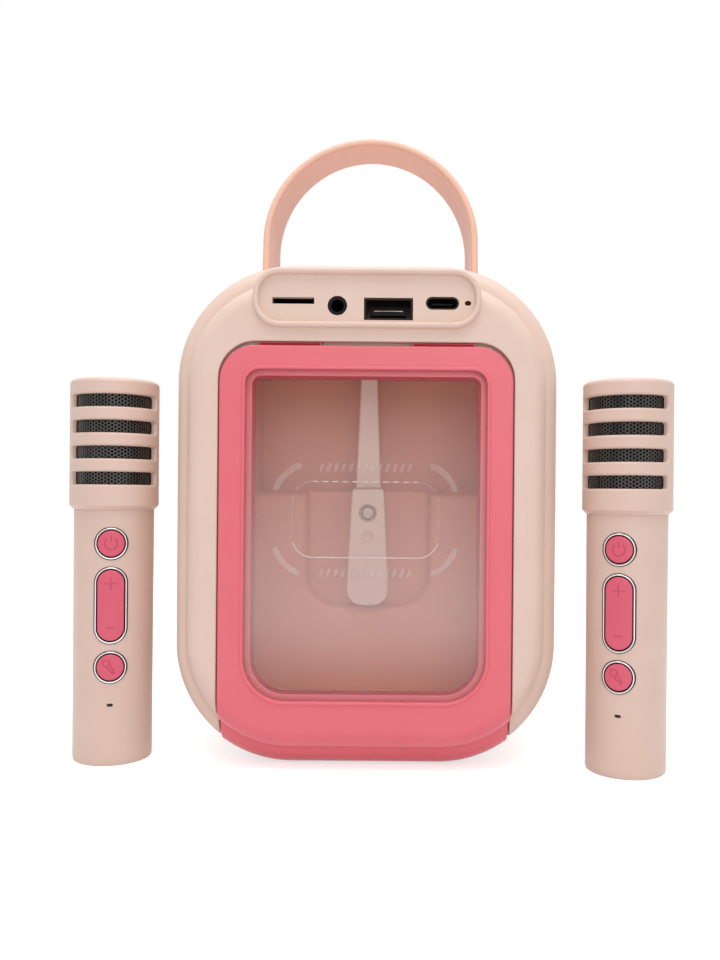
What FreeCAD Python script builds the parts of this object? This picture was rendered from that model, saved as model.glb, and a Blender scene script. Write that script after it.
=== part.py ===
import FreeCAD, Part
import math
import os

# Karaoke speaker with a storage bay in its back, and two wireless microphones.
# Millimetres, +Z up. The back with the door faces -Y. The origin is on the floor below the middle.

# Body
body_width = 112.2
body_height = 146.2
body_depth = 88.0
body_corner = 34.5
body_wall = 2.2
edge_round = 5.0
least_edge_round = 0.6
step_inset = 4.1
step_end_extra = 1.7
step_rise = 6.0
front_round = 8.0
fuse_overlap = 1.0

# Fits
slide_gap = 0.2
seat_gap = 0.1
bore_gap = 0.05
match_tolerance = 1e-4
touch_tolerance = 1e-3
edge_samples = (0.12, 0.5, 0.88)

# Feet
foot_height = 1.2
foot_radius = 4.0
foot_pocket = 0.6
foot_round = 0.5
foot_spread_share = 0.737
foot_door_gap = 0.9
foot_front_inset = 14.0

# Socket boss above the door
boss_share = 0.579
boss_drop = 3.2
boss_height = 16.9
boss_corner = 7.6
boss_rise = 1.8
boss_lip = 1.6
boss_lip_round = 0.75
boss_root = 9.0

# Door
door_side = 14.1
door_boss_gap = 5.1
door_corner = 10.3
door_wall = 2.2
door_proud = 0.5
door_gap = 0.4
door_top_gap = 1.2
rebate_gap = 0.9
door_reach = 14.0
door_seat = 1.8
door_round = 0.6
opening_round = 0.4
frame_side = 7.5
frame_top = 6.9
window_bottom = 20.6
window_top_corner = 4.2
window_low_corner = 12.0
window_lip = 0.8
window_overlap = 2.0
bead_width = 1.0
bead_height = 0.5
bead_round = 0.35

# Door hinge
hinge_drop = 1.3
hinge_depth = 1.6
hinge_pin_radius = 0.75
knuckle_radius = 1.45
knuckle_inner = 13.0
knuckle_outer_inset = 11.0
knuckle_tab = 2.2
knuckle_room = 0.35
ear_half_height = 1.25
ear_clip = 0.35
ear_gap = 1.0
ear_centre_half = 6.0
ear_end_width = 3.8
ear_skin = 0.8

# Storage bay
tub_side_gap = 0.7
tub_bottom_gap = 2.4
tub_top_gap = 1.9
tub_corner = 12.0
tub_wall = 1.8
tub_magnet_gap = 9.0
tub_shelf_step = 15.0
tub_shelf_share = 0.63
tub_notch_share = 0.267
tub_notch_width_share = 0.54
tub_notch_step = 6.0
tub_notch_corner = 10.0
tub_flange = 5.0
tub_shelf_round = 2.5
lug_reach = 11.0
lug_shares = (0.348, 0.853)
lug_width = 6.4
lug_thick = 2.0
lug_depth = 8.2

# Partition in the bay
partition_top_gap = 0.2
partition_top_width = 5.2
partition_top_round = 0.7
partition_step_rise = 1.0
partition_neck_width = 8.0
partition_step_width = 10.0
partition_low_width = 13.6
partition_low_corner = 5.0
partition_step_corner = 1.0
partition_notch_gap = 0.4
partition_neck_thick = 13.0
partition_front_rise = 2.0
partition_screw_drop = 7.6
partition_dimple_drop = 15.0
partition_dimple_depth = 1.0
partition_dimple_radius = 1.7
partition_bore_radius = 2.8
partition_round = 0.6
partition_seat_thick = 4.5

# Screws
screw_head_radius = 1.9
screw_head_height = 1.4
screw_shank_radius = 1.1
screw_length = 6.0
screw_head_round_share = 0.2
cross_length_share = 1.2
cross_width_share = 0.3
cross_depth_share = 0.5
side_screw_shares = (0.222, 0.497, 0.77)
side_screw_depth = 14.5
side_screw_head = 1.8
side_screw_sink = 0.9
tongue_thick = 5.0
tongue_width = 10.0
tongue_lead = 4.0
boss_pillar_radius = 3.0

# Sockets: place across the boss as a share of its width, rise above its bottom, and size
card_share = -0.325
card_rise = 7.7
card_slot_width = 12.0
card_slot_height = 1.9
card_side_wall = 0.9
card_face_wall = 0.4
audio_share = -0.131
audio_rise = 6.35
audio_hole_radius = 2.8
audio_bore_radius = 1.8
audio_floor_thick = 1.0
usb_a_share = 0.094
usb_a_rise = 5.5
usb_a_width = 14.0
usb_a_height = 6.4
usb_a_gap = 0.3
usb_a_tongue_width_share = 0.9
usb_a_tongue_height_share = 0.35
usb_a_tongue_rise_share = 0.2
usb_c_share = 0.331
usb_c_rise = 7.25
usb_c_width = 9.5
usb_c_height = 3.7
usb_c_tongue_width_share = 0.72
usb_c_tongue_height_share = 0.22
light_share = 0.443
light_rise = 7.3
light_width = 1.8
light_height = 1.4
socket_back = 15.0
socket_set_back = 0.4
socket_wall = 0.4
socket_floor_thick = 2.2
tongue_set_back = 0.8
board_thick = 1.6
board_corner = 1.5
socket_board_side = 2.5
socket_board_rise = 0.1
socket_board_height = 11.5
socket_pillar_side = 0.5
socket_pillar_rise = 3.6
socket_pillar_radius = 2.5

# Handle
handle_side = 12.4
handle_rise = 46.9
handle_thick = 2.2
handle_leg_depth = 30.0
handle_top_depth = 17.0
handle_seam_gap = 4.1
handle_rib = 4.6
handle_round = 0.9
clamp_thick = 2.0
clamp_length = 24.0
clamp_height = 10.0
clamp_roof_gap = 0.5
clamp_end_gap = 1.0
clamp_screw_spread = 8.0

# Controls on the top
control_names = ("power", "previous", "play", "next", "voice")
control_proud = 0.7
control_round = 0.35
control_foot_drop = 7.0
control_flange = 0.9
control_flange_thick = 1.0
control_gap = 0.2
control_side_gap = 0.5
control_board_gap = 1.0
control_board_rib_gap = 2.1
control_board_depth = 16.0
control_pillar_inset = 2.4
control_pillar_radius = 2.2
switch_radius = 1.8
switch_gap = 0.7
panel_margin = 2.8
panel_depth = 17.6
panel_thick = 1.0
panel_corner = 3.0

# Loudspeaker and front
baffle_recess = 4.0
baffle_thick = 3.0
grille_inset = 10.0
ring_width = 4.0
ring_round = 0.8
grille_thick = 1.5
grille_hole_radius = 1.3
grille_pitch = 4.4
grille_margin = 7.8
speaker_opening_inset = 2.0
speaker_rim = 6.0
speaker_screw_rim = 4.0
speaker_screw_angles = (45.0, 135.0, 225.0, 315.0)
speaker_flange = 3.4
speaker_deep = 21.0
speaker_neck = 16.0
basket_wall = 1.6
magnet_radius = 22.0
magnet_thick = 10.0
magnet_bore = 6.0
cone_rim_thick = 0.8
cone_wall = 1.6
cone_depth_share = 0.75
cone_gap = 0.6
dust_cap_radius = 11.0

# Main board and battery
main_board_side = 5.2
main_board_low_gap = 7.1
main_board_top_gap = 1.6
chip_share = 0.333
chip_pitch_share = 1.3
main_pillar_inset = 4.0
main_pillar_length = 4.6
main_pillar_radius = 2.2
battery_side_gap = 1.2
battery_front_gap = 7.0
battery_depth = 34.0
battery_height = 18.0
battery_round = 2.0

# Microphones
mic_side_gap = 20.5
mic_left_depth = 16.1
mic_right_depth = 7.25
mic_left_turn = 13.0
mic_right_turn = -25.0
mic_radius = 11.65
mic_taper = 0.1
mic_wall = 1.8
mic_base_thick = 1.2
mic_base_round = 0.6
mic_plug = 5.0
mic_head_bottom = 74.5
mic_head_height = 38.7
mic_head_overhang = 1.3
mic_head_wall = 1.6
mic_head_chamfer = 1.4
mic_head_round = 1.3
mic_floor_drop = 1.5
mic_floor_thick = 2.5
mic_spigot_height = 4.0
mic_spigot_step = 0.4
mic_slot_half_angle = 72.0
mic_slot_facings = (90.0, 270.0)
mic_slot_corner = 1.2
mic_slot_height = 3.75
mic_slot_first_rise = 9.4
mic_slot_pitch = 7.57
mic_slot_count = 4
mic_slot_round = 0.7
mic_mesh_thick = 0.5
mic_inner_gap = 2.7
mic_capsule_height = 9.0
mic_cell_top_gap = 17.3
mic_cell_shift = 2.2
mic_board_width_share = 1.24
mic_board_gap = 1.3
mic_board_thick = 1.2
mic_board_top_gap = 3.5
mic_button_radius = 3.8
mic_button_proud = 0.5
mic_button_round = 0.45
mic_button_root = 1.5
mic_button_flange = 0.7
mic_ring_width = 0.8
mic_ring_proud = 0.3
mic_ring_sink = 1.0
mic_ring_round = 0.3
mic_power_drop = 9.65
mic_control_gap = 3.9
mic_rocker_width = 7.5
mic_rocker_length = 20.6
mic_catch_height = 3.8
mic_light_height = 17.85
mic_light_width = 1.7
mic_light_size = 0.8

# Places that follow from the sizes: body and handle
back_reach = max(boss_rise, mic_radius + mic_head_overhang - mic_right_depth)
back_y = (back_reach - body_depth) / 2
body_bottom = foot_height
body_top = foot_height + body_height
half_width = body_width / 2
flat_half = half_width - body_corner
handle_middle = -back_y
handle_leg_x = flat_half + handle_side
handle_inner_x = handle_leg_x - handle_thick
handle_top = body_top + handle_rise
handle_low_depth = handle_middle - handle_leg_depth / 2
handle_high_depth = handle_middle + handle_leg_depth / 2
seam_depth = handle_low_depth - handle_seam_gap
foot_spread = flat_half * foot_spread_share
foot_back_depth = door_reach + door_gap + foot_radius + foot_door_gap
foot_front_depth = body_depth - foot_front_inset
tongue_start = side_screw_depth - tongue_lead
side_screw_heights = [body_bottom + share * body_height for share in side_screw_shares]

# Boss and sockets
boss_width = body_width * boss_share
boss_half = boss_width / 2
boss_top = body_top - boss_drop
boss_bottom = boss_top - boss_height
card_x = boss_width * card_share
card_z = boss_bottom + card_rise
audio_x = boss_width * audio_share
audio_z = boss_bottom + audio_rise
usb_a_x = boss_width * usb_a_share
usb_a_z = boss_bottom + usb_a_rise
usb_c_x = boss_width * usb_c_share
usb_c_z = boss_bottom + usb_c_rise
light_x = boss_width * light_share
light_z = boss_bottom + light_rise
socket_board_half = boss_half + socket_board_side
socket_board_bottom = boss_bottom + socket_board_rise
socket_pillar_x = boss_half + socket_pillar_side
socket_pillar_z = boss_bottom + socket_pillar_rise

# Loudspeaker
baffle_front = body_depth - baffle_recess
baffle_back = baffle_front - baffle_thick
grille_field = half_width - grille_inset - ring_width - 2 * seat_gap - grille_margin
speaker_height = (body_bottom + body_top) / 2
speaker_opening = grille_field - speaker_opening_inset
speaker_radius = speaker_opening + speaker_rim
speaker_screw_circle = speaker_opening + speaker_screw_rim
speaker_basket_deep = baffle_back - speaker_deep
magnet_back = speaker_basket_deep - magnet_thick

# Door, window and bay
door_width = body_width - 2 * door_side
door_half = door_width / 2
door_top = boss_bottom - door_boss_gap
window_half = door_half - frame_side
window_top = door_top - frame_top
hinge_z = door_top - hinge_drop
knuckle_outer = door_half - knuckle_outer_inset
ear_end_inner = knuckle_outer + ear_gap
ear_end_outer = ear_end_inner + ear_end_width
opening_top = door_top + door_top_gap
rebate = door_wall - door_proud + rebate_gap
seat_back = rebate + door_seat
tub_half = window_half + tub_side_gap
tub_bottom = window_bottom - tub_bottom_gap
tub_top = window_top + tub_top_gap
tub_height = tub_top - tub_bottom
tub_deep = magnet_back - tub_magnet_gap
tub_shelf_deep = tub_deep - tub_shelf_step
tub_shelf_top = tub_bottom + tub_height * tub_shelf_share
tub_notch_bottom = tub_bottom + tub_height * tub_notch_share
notch_half = tub_half * tub_notch_width_share
notch_deep = tub_shelf_deep + tub_notch_step
lug_spread = tub_half + lug_reach
lug_heights = [tub_bottom + share * tub_height for share in lug_shares]
partition_top = tub_top - partition_top_gap
partition_step = tub_shelf_top + partition_step_rise
partition_bottom = tub_notch_bottom + partition_notch_gap
partition_deep = tub_deep - partition_neck_thick
partition_front = tub_shelf_deep - partition_front_rise
partition_screw_height = partition_step - partition_screw_drop
partition_dimple_height = partition_step - partition_dimple_drop
partition_seat = notch_deep - partition_seat_thick

# Controls, main board and battery
control_board_half = handle_inner_x - seat_gap - handle_rib - control_board_rib_gap
control_pillar_x = control_board_half - control_pillar_inset
control_span = control_pillar_x - control_pillar_radius - control_side_gap
control_middle = (len(control_names) - 1) / 2
control_flange_radius = (control_span - control_middle * control_gap) / len(control_names)
control_radius = control_flange_radius - control_flange
control_pitch = 2 * control_flange_radius + control_gap
control_foot = body_top - control_foot_drop
control_board_top = control_foot - control_board_gap
panel_width = 2 * (control_middle * control_pitch + control_radius + panel_margin)
main_board_half = tub_half - main_board_side
main_board_low = tub_shelf_top + main_board_low_gap
main_board_high = tub_top - main_board_top_gap
main_pillar_x = main_board_half - main_pillar_inset
chip_size = main_board_half * chip_share
chip_pitch = chip_size * chip_pitch_share
battery_half = flat_half - battery_side_gap
battery_start = baffle_back - battery_front_gap - battery_depth

# Microphones
mic_spread = half_width + mic_side_gap
mic_foot_radius = mic_radius - mic_taper
mic_bore_radius = mic_radius - mic_wall
mic_spigot_radius = mic_radius - mic_spigot_step
mic_head_radius = mic_radius + mic_head_overhang
mic_head_top = mic_head_bottom + mic_head_height
mic_plug_top = mic_base_thick + mic_plug
mic_floor = mic_head_bottom - mic_floor_drop
mic_spigot_top = mic_head_bottom + mic_spigot_height
mic_slot_first = mic_head_bottom + mic_slot_first_rise
mic_inner_radius = mic_bore_radius - mic_inner_gap
mic_button_back = mic_bore_radius - mic_button_root
mic_board_front = mic_button_back - mic_board_gap
mic_board_width = mic_bore_radius * mic_board_width_share
mic_board_top = mic_floor - mic_board_top_gap
mic_cell_length = mic_floor - mic_plug_top - mic_cell_top_gap
mic_control_step = mic_button_radius + mic_rocker_length / 2 + mic_control_gap
mic_power_height = mic_head_bottom - mic_power_drop
mic_rocker_height = mic_power_height - mic_control_step
mic_effect_height = mic_rocker_height - mic_control_step


def vec(x, y, z):
    return FreeCAD.Vector(x, y, z)


def rounded_wire(corners, radii, y):
    """Closed outline in the XZ plane at y, with each corner rounded by its own radius."""
    count = len(corners)
    spans = []
    for index in range(count):
        corner = vec(corners[index][0], y, corners[index][1])
        before = vec(corners[index - 1][0], y, corners[index - 1][1]) - corner
        after = vec(corners[(index + 1) % count][0], y, corners[(index + 1) % count][1]) - corner
        before.normalize()
        after.normalize()
        half_angle = before.getAngle(after) / 2
        middle = before + after
        middle.normalize()
        reach = radii[index] / math.tan(half_angle)
        bulge = radii[index] / math.sin(half_angle) - radii[index]
        spans.append((corner + before * reach, corner + middle * bulge, corner + after * reach))
    edges = []
    for index in range(count):
        start, middle, end = spans[index]
        following = spans[(index + 1) % count][0]
        if radii[index] > 0:
            edges.append(Part.Arc(start, middle, end).toShape())
        if following.distanceToPoint(end) > match_tolerance:
            edges.append(Part.makeLine(end, following))
    return Part.Wire(edges)


def slab(x_low, x_high, z_low, z_high, depth_low, depth_high, low_round=0.0, top_round=0.0):
    """Plate with rounded corners, between two depths behind the back face."""
    corners = ((x_low, z_low), (x_high, z_low), (x_high, z_high), (x_low, z_high))
    radii = (low_round, low_round, top_round, top_round)
    face = Part.Face(rounded_wire(corners, radii, back_y + depth_low))
    return face.extrude(vec(0, depth_high - depth_low, 0))


def outline_slab(inset, depth_low, depth_high, end_extra=0.0):
    """Plate with the body's outline, drawn in by inset, and by more than that at the top and bottom."""
    radius = body_corner - inset
    side = half_width - inset
    ends = inset + end_extra
    return slab(-side, side, body_bottom + ends, body_top - ends, depth_low, depth_high, radius, radius)


def edges_at_depth(shape, depth):
    """Edges that lie whole in the plane at a depth."""
    y = back_y + depth
    return [e for e in shape.Edges
            if abs(e.BoundBox.YMin - y) < match_tolerance and abs(e.BoundBox.YMax - y) < match_tolerance]


def edges_on_both(shape, first, second):
    """Edges of a shape that lie on the outsides of two forms."""
    chosen = []
    for edge in shape.Edges:
        start, end = edge.ParameterRange
        points = [Part.Vertex(edge.valueAt(start + (end - start) * share)) for share in edge_samples]
        skins = (first.Shells[0], second.Shells[0])
        if all(skin.distToShape(point)[0] < touch_tolerance for skin in skins for point in points):
            chosen.append(edge)
    return chosen


def body_form(inset, depth_end):
    """The stepped back of the body, drawn in by inset on every face, up to a depth."""
    rounding = max(edge_round - inset, least_edge_round)
    band_depth = step_rise + inset
    band = outline_slab(inset, band_depth, depth_end)
    band = band.makeFillet(rounding, edges_at_depth(band, band_depth))
    plateau = outline_slab(inset + step_inset, inset, band_depth + fuse_overlap, step_end_extra)
    plateau = plateau.makeFillet(rounding, edges_at_depth(plateau, inset))
    return band.fuse(plateau).removeSplitter()


def rod(x, depth, z, radius, length, direction):
    """Round bar from a point, along a direction."""
    return Part.makeCylinder(radius, length, vec(x, back_y + depth, z), direction)


def box(x_low, x_high, depth_low, depth_high, z_low, z_high):
    corner = vec(x_low, back_y + depth_low, z_low)
    return Part.makeBox(x_high - x_low, depth_high - depth_low, z_high - z_low, corner)


def screw(seat, direction, head_radius=screw_head_radius, head_height=screw_head_height):
    """Self-tapping screw with its head on a seat, driven along a direction, with a cross in its head."""
    head_top = seat - direction * head_height
    head = Part.makeCylinder(head_radius, head_height, head_top, direction)
    rim = [e for e in head.Edges if e.CenterOfMass.distanceToPoint(head_top) < match_tolerance]
    head = head.makeFillet(head_radius * screw_head_round_share, rim)
    shank = Part.makeCylinder(screw_shank_radius, screw_length, seat, direction)
    body = head.fuse(shank)
    long = head_radius * cross_length_share
    wide = head_radius * cross_width_share
    for across in ((long, wide), (wide, long)):
        blade = Part.makeBox(across[0], across[1], head_height, vec(-across[0] / 2, -across[1] / 2, 0))
        blade.Placement = FreeCAD.Placement(vec(0, 0, 0), FreeCAD.Rotation(vec(0, 0, 1), direction))
        blade.translate(seat - direction * head_height * (1 + cross_depth_share))
        body = body.cut(blade)
    return body


def screw_hole(seat, direction):
    """Hole that a screw's shank is driven into."""
    return Part.makeCylinder(screw_shank_radius + bore_gap, screw_length + 2 * fuse_overlap,
                             seat - direction * fuse_overlap, direction)


nodes = {}
inner_screws = []

TO_BACK = vec(0, -1, 0)
TO_FRONT = vec(0, 1, 0)
UP = vec(0, 0, 1)
TO_RIGHT = vec(1, 0, 0)

# Rear shell: skin, rebate that the door closes into, socket boss, screw pillars
opening_half = door_half + door_gap
opening_corner = door_corner + door_gap
opening_reach = door_reach + door_gap
below = -fuse_overlap

shell = body_form(0, seam_depth).cut(body_form(body_wall, seam_depth + fuse_overlap))
backing = slab(-opening_half - door_seat, opening_half + door_seat, below, opening_top + door_seat,
               below, opening_reach + door_seat, 0, opening_corner + door_seat)
backing = backing.common(body_form(body_wall / 2, opening_reach + door_seat))
backing = backing.cut(body_form(seat_back, opening_reach + door_seat + fuse_overlap))
shell = shell.fuse(backing)
opening = slab(-opening_half, opening_half, below, opening_top, below, opening_reach, 0, opening_corner)
shell = shell.cut(opening.cut(body_form(rebate, opening_reach + fuse_overlap)))
opening_outline = slab(-opening_half, opening_half, below, opening_top, below, body_depth, 0, opening_corner)
shell = shell.makeFillet(opening_round, edges_on_both(shell, opening_outline, body_form(0, seam_depth)))
shell = shell.cut(slab(-tub_half, tub_half, tub_bottom, tub_top, below, seat_back + fuse_overlap,
                       tub_corner, 0))

# Hinge seat in the rebate: pockets for the door's knuckles, and clips that the pin snaps into
ear_spans = [(-ear_centre_half, ear_centre_half), (ear_end_inner, ear_end_outer),
             (-ear_end_outer, -ear_end_inner)]
knuckle_starts = (knuckle_inner, -knuckle_outer)
knuckle_length = knuckle_outer - knuckle_inner
for start in knuckle_starts:
    shell = shell.cut(box(start - door_gap, start + knuckle_length + door_gap, hinge_depth,
                          hinge_depth + knuckle_radius + knuckle_room,
                          hinge_z - knuckle_radius - knuckle_room, opening_top))
for low, high in ear_spans:
    ear = box(low, high, hinge_depth - ear_clip, rebate + door_seat / 2,
              hinge_z - ear_half_height, hinge_z + ear_half_height)
    shell = shell.fuse(ear.cut(rod(low, hinge_depth, hinge_z, hinge_pin_radius + bore_gap / 2,
                                   high - low, TO_RIGHT)))

boss = slab(-boss_half, boss_half, boss_bottom, boss_top, -boss_rise, boss_root, boss_corner, boss_corner)
boss_core = body_form(body_wall, seam_depth)
recess = slab(-boss_half + boss_lip, boss_half - boss_lip, boss_bottom + boss_lip, boss_top - boss_lip,
              -2 * boss_rise, 0, boss_corner - boss_lip, boss_corner - boss_lip)
boss = boss.cut(recess)
boss = boss.makeFillet(boss_lip_round, edges_at_depth(boss, -boss_rise))
shell = shell.fuse(boss.cut(boss_core))

lug_seats = []
for x in (-lug_spread, lug_spread):
    for z in lug_heights:
        pillar_length = lug_depth - body_wall / 2
        shell = shell.fuse(rod(x, body_wall / 2, z, boss_pillar_radius, pillar_length, TO_FRONT))
        lug_seats.append(vec(x, back_y + lug_depth + lug_thick, z))
socket_seats = []
for x in (-socket_pillar_x, socket_pillar_x):
    pillar_length = socket_back - body_wall / 2
    shell = shell.fuse(rod(x, body_wall / 2, socket_pillar_z, socket_pillar_radius,
                           pillar_length, TO_FRONT))
    socket_seats.append(vec(x, back_y + socket_back + board_thick, socket_pillar_z))
for seat in lug_seats + socket_seats:
    shell = shell.cut(screw_hole(seat, TO_BACK))
    inner_screws.append(screw(seat, TO_BACK))


def capsule_slab(x, z, width, height, depth_low, depth_high):
    """Plate with fully rounded ends."""
    rounding = min(width, height) / 2
    return slab(x - width / 2, x + width / 2, z - height / 2, z + height / 2,
                depth_low, depth_high, rounding, rounding)


socket_cuts = [
    slab(card_x - card_slot_width / 2, card_x + card_slot_width / 2, card_z - card_slot_height / 2,
         card_z + card_slot_height / 2, below, boss_root),
    rod(audio_x, below, audio_z, audio_hole_radius, boss_root, TO_FRONT),
    slab(usb_a_x - usb_a_width / 2, usb_a_x + usb_a_width / 2, usb_a_z - usb_a_height / 2,
         usb_a_z + usb_a_height / 2, below, boss_root),
    capsule_slab(usb_c_x, usb_c_z, usb_c_width, usb_c_height, below, boss_root),
    capsule_slab(light_x, light_z, light_width, light_height, below, boss_root),
]
for cut in socket_cuts:
    shell = shell.cut(cut)


def side_surface(z):
    """Half width of the body at a height."""
    low_centre = body_bottom + body_corner
    high_centre = body_top - body_corner
    rise = max(low_centre - z, z - high_centre, 0)
    return flat_half + math.sqrt(body_corner ** 2 - rise ** 2)


def roof_inside(x):
    """Height of the inside of the body's top at a distance from the middle."""
    reach = max(x - flat_half, 0)
    return body_top - body_corner + math.sqrt((body_corner - body_wall) ** 2 - reach ** 2)


side_screws = []
side_holes = []
for side in (-1, 1):
    for z in side_screw_heights:
        inward = vec(-side, 0, 0)
        seat = vec(side * (side_surface(z) - side_screw_sink), back_y + side_screw_depth, z)
        counterbore = Part.makeCylinder(side_screw_head + bore_gap, 2 * side_screw_sink,
                                        seat - inward * 2 * side_screw_sink, inward)
        shell = shell.cut(counterbore)
        side_holes.append(screw_hole(seat, inward))
        shell = shell.cut(side_holes[-1])
        side_screws.append(screw(seat, inward, side_screw_head, side_screw_sink))
nodes["side_screws"] = Part.makeCompound(side_screws)

feet = []
foot_pockets = []
for x in (-foot_spread, foot_spread):
    for depth in (foot_back_depth, foot_front_depth):
        foot = rod(x, depth, 0, foot_radius, foot_height + foot_pocket, UP)
        foot_rim = [e for e in foot.Edges if e.BoundBox.ZMax < match_tolerance]
        feet.append(foot.makeFillet(foot_round, foot_rim))
        foot_pockets.append(rod(x, depth, 0, foot_radius + bore_gap, foot_height + foot_pocket, UP))
nodes["rubber_feet"] = Part.makeCompound(feet)
for pocket in foot_pockets:
    shell = shell.cut(pocket)
nodes["rear_shell"] = shell.removeSplitter()

# Door: pink frame that follows the body round its chin, clear window let into it from inside

def window_slab(grow, depth_low, depth_high):
    """Plate with the outline of the door's window, made larger by grow."""
    return slab(-window_half - grow, window_half + grow, window_bottom - grow, window_top + grow,
                depth_low, depth_high, window_low_corner + grow, window_top_corner + grow)


pane_front = window_lip - door_proud
pane_back = door_wall - door_proud
door_outline = slab(-door_half, door_half, below, door_top, below, body_depth, 0, door_corner)
door_front = body_form(-door_proud, door_reach + fuse_overlap)
door = slab(-door_half, door_half, below, door_top, below, door_reach, 0, door_corner)
door = door.common(door_front)
door = door.makeFillet(door_round, edges_on_both(door, door_outline, door_front))
door = door.cut(body_form(pane_back, door_reach + fuse_overlap))
bead = window_slab(bead_width, -door_proud - bead_height, pane_front)
bead = bead.cut(window_slab(0, -door_wall, door_wall))
bead = bead.makeFillet(bead_round, edges_at_depth(bead, -door_proud - bead_height))
door = door.cut(window_slab(0, -door_wall, door_wall)).fuse(bead)
door = door.cut(window_slab(window_overlap, pane_front, door_wall))
pin_room = hinge_pin_radius + slide_gap
door = door.cut(rod(-door_half, hinge_depth, hinge_z, pin_room, door_width, TO_RIGHT))

ear_room = ear_half_height + slide_gap
for low, high in ear_spans:
    door = door.cut(box(low - door_gap, high + door_gap, ear_skin - door_proud, door_wall,
                        hinge_z - ear_room - door_gap, door_top + fuse_overlap))
for start in knuckle_starts:
    end = start + knuckle_length
    knuckle = rod(start, hinge_depth, hinge_z, knuckle_radius, knuckle_length, TO_RIGHT)
    root = box(start, end, pane_front, hinge_depth, hinge_z - knuckle_radius, door_top - door_gap)
    tab = box(start, end, pane_front + door_gap, hinge_depth + door_gap, hinge_z, hinge_z + knuckle_tab)
    bore = rod(start, hinge_depth, hinge_z, hinge_pin_radius + bore_gap, knuckle_length, TO_RIGHT)
    door = door.fuse(knuckle).fuse(root).fuse(tab).cut(bore)
nodes["door_frame"] = door.removeSplitter()
nodes["door_window"] = window_slab(window_overlap - bore_gap, pane_front, pane_back)
nodes["hinge_pin"] = rod(-ear_end_outer, hinge_depth, hinge_z, hinge_pin_radius,
                         2 * ear_end_outer, TO_RIGHT)

# Bay tub: walls round the storage space, flange behind the rebate, screw lugs and board pillars
lid_top = tub_top + tub_wall


def bay_space(grow, top, front):
    """Storage space of the bay, made larger by grow: deep above, shallow below but for a hollow."""
    shallow = slab(-tub_half - grow, tub_half + grow, tub_bottom - grow, top, front,
                   tub_shelf_deep + grow, tub_corner + grow, 0)
    deep = slab(-tub_half - grow, tub_half + grow, tub_shelf_top - grow, top, front, tub_deep + grow)
    notch = slab(-notch_half - grow, notch_half + grow, tub_notch_bottom - grow, top, front,
                 notch_deep + grow, tub_notch_corner + grow, 0)
    return shallow.fuse(deep).fuse(notch)


tub = bay_space(tub_wall, lid_top, seat_back)
flange = slab(-tub_half - tub_flange, tub_half + tub_flange, below, lid_top,
              seat_back, seat_back + tub_wall)
tub = tub.fuse(flange.common(body_form(seat_back, seam_depth)))
bay = bay_space(0, tub_top, below).removeSplitter()
shelf_edges = []
for edge in edges_at_depth(bay, tub_shelf_deep):
    on_notch = abs(edge.CenterOfMass.x) < notch_half + tub_wall
    on_top = edge.BoundBox.ZMin > tub_shelf_top - tub_wall
    if edge.CenterOfMass.z > tub_notch_bottom - tub_wall and (on_notch or on_top):
        shelf_edges.append(edge)
tub = tub.cut(bay.makeFillet(tub_shelf_round, shelf_edges))
for side in (-1, 1):
    lug_edges = sorted((side * (tub_half + tub_wall / 2), side * (lug_spread + lug_width / 2)))
    for z in lug_heights:
        tub = tub.fuse(box(lug_edges[0], lug_edges[1], lug_depth, lug_depth + lug_thick,
                           z - lug_width / 2, z + lug_width / 2))
for seat in lug_seats:
    tub = tub.cut(screw_hole(seat, TO_BACK))
main_board_back = tub_deep + tub_wall + main_pillar_length
main_seats = []
for x in (-main_pillar_x, main_pillar_x):
    for z in (main_board_low + main_pillar_inset, main_board_high - main_pillar_inset):
        length = main_pillar_length + tub_wall / 2
        tub = tub.fuse(rod(x, tub_deep + tub_wall / 2, z, main_pillar_radius, length, TO_FRONT))
        main_seats.append(vec(x, back_y + main_board_back + board_thick, z))
for seat in main_seats:
    tub = tub.cut(screw_hole(seat, TO_BACK).common(box(-tub_half, tub_half, tub_deep + tub_wall,
                                                       body_depth, main_board_low, main_board_high)))
    inner_screws.append(screw(seat, TO_BACK))

# Partition between the two microphone places, screwed to the back wall of the bay
partition_seat_point = vec(0, back_y + partition_seat, partition_screw_height)
partition_tip = partition_seat + screw_length + bore_gap
neck_corners = ((-partition_neck_width / 2, partition_step), (partition_neck_width / 2, partition_step),
                (partition_top_width / 2, partition_top), (-partition_top_width / 2, partition_top))
neck_radii = (0, 0, partition_top_round, partition_top_round)
neck = Part.Face(rounded_wire(neck_corners, neck_radii, back_y + partition_deep))
neck = neck.extrude(vec(0, tub_deep - partition_deep, 0))
neck = neck.makeFillet(partition_round, edges_at_depth(neck, partition_deep))
low_half = partition_low_width / 2
step_half = partition_step_width / 2
foot_corners = ((-low_half, partition_bottom), (low_half, partition_bottom),
                (step_half, partition_step), (-step_half, partition_step))
foot_radii = (partition_low_corner, partition_low_corner, partition_step_corner, partition_step_corner)
foot_block = Part.Face(rounded_wire(foot_corners, foot_radii, back_y + partition_front))
foot_block = foot_block.extrude(vec(0, notch_deep - partition_front, 0))
foot_block = foot_block.makeFillet(partition_round, edges_at_depth(foot_block, partition_front))
partition = neck.fuse(foot_block)
partition = partition.cut(screw_hole(partition_seat_point, TO_FRONT))
partition = partition.cut(rod(0, partition_front, partition_screw_height, partition_bore_radius,
                              partition_seat - partition_front, TO_FRONT))
partition = partition.cut(rod(0, partition_front, partition_dimple_height, partition_dimple_radius,
                              partition_dimple_depth, TO_FRONT))
nodes["bay_partition"] = partition.removeSplitter()
tub = tub.fuse(rod(0, notch_deep + tub_wall / 2, partition_screw_height, boss_pillar_radius,
                   partition_tip - notch_deep, TO_FRONT))
tub = tub.cut(screw_hole(partition_seat_point, TO_FRONT).common(
    box(-tub_half, tub_half, 0, partition_tip, tub_bottom, tub_top)))
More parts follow.
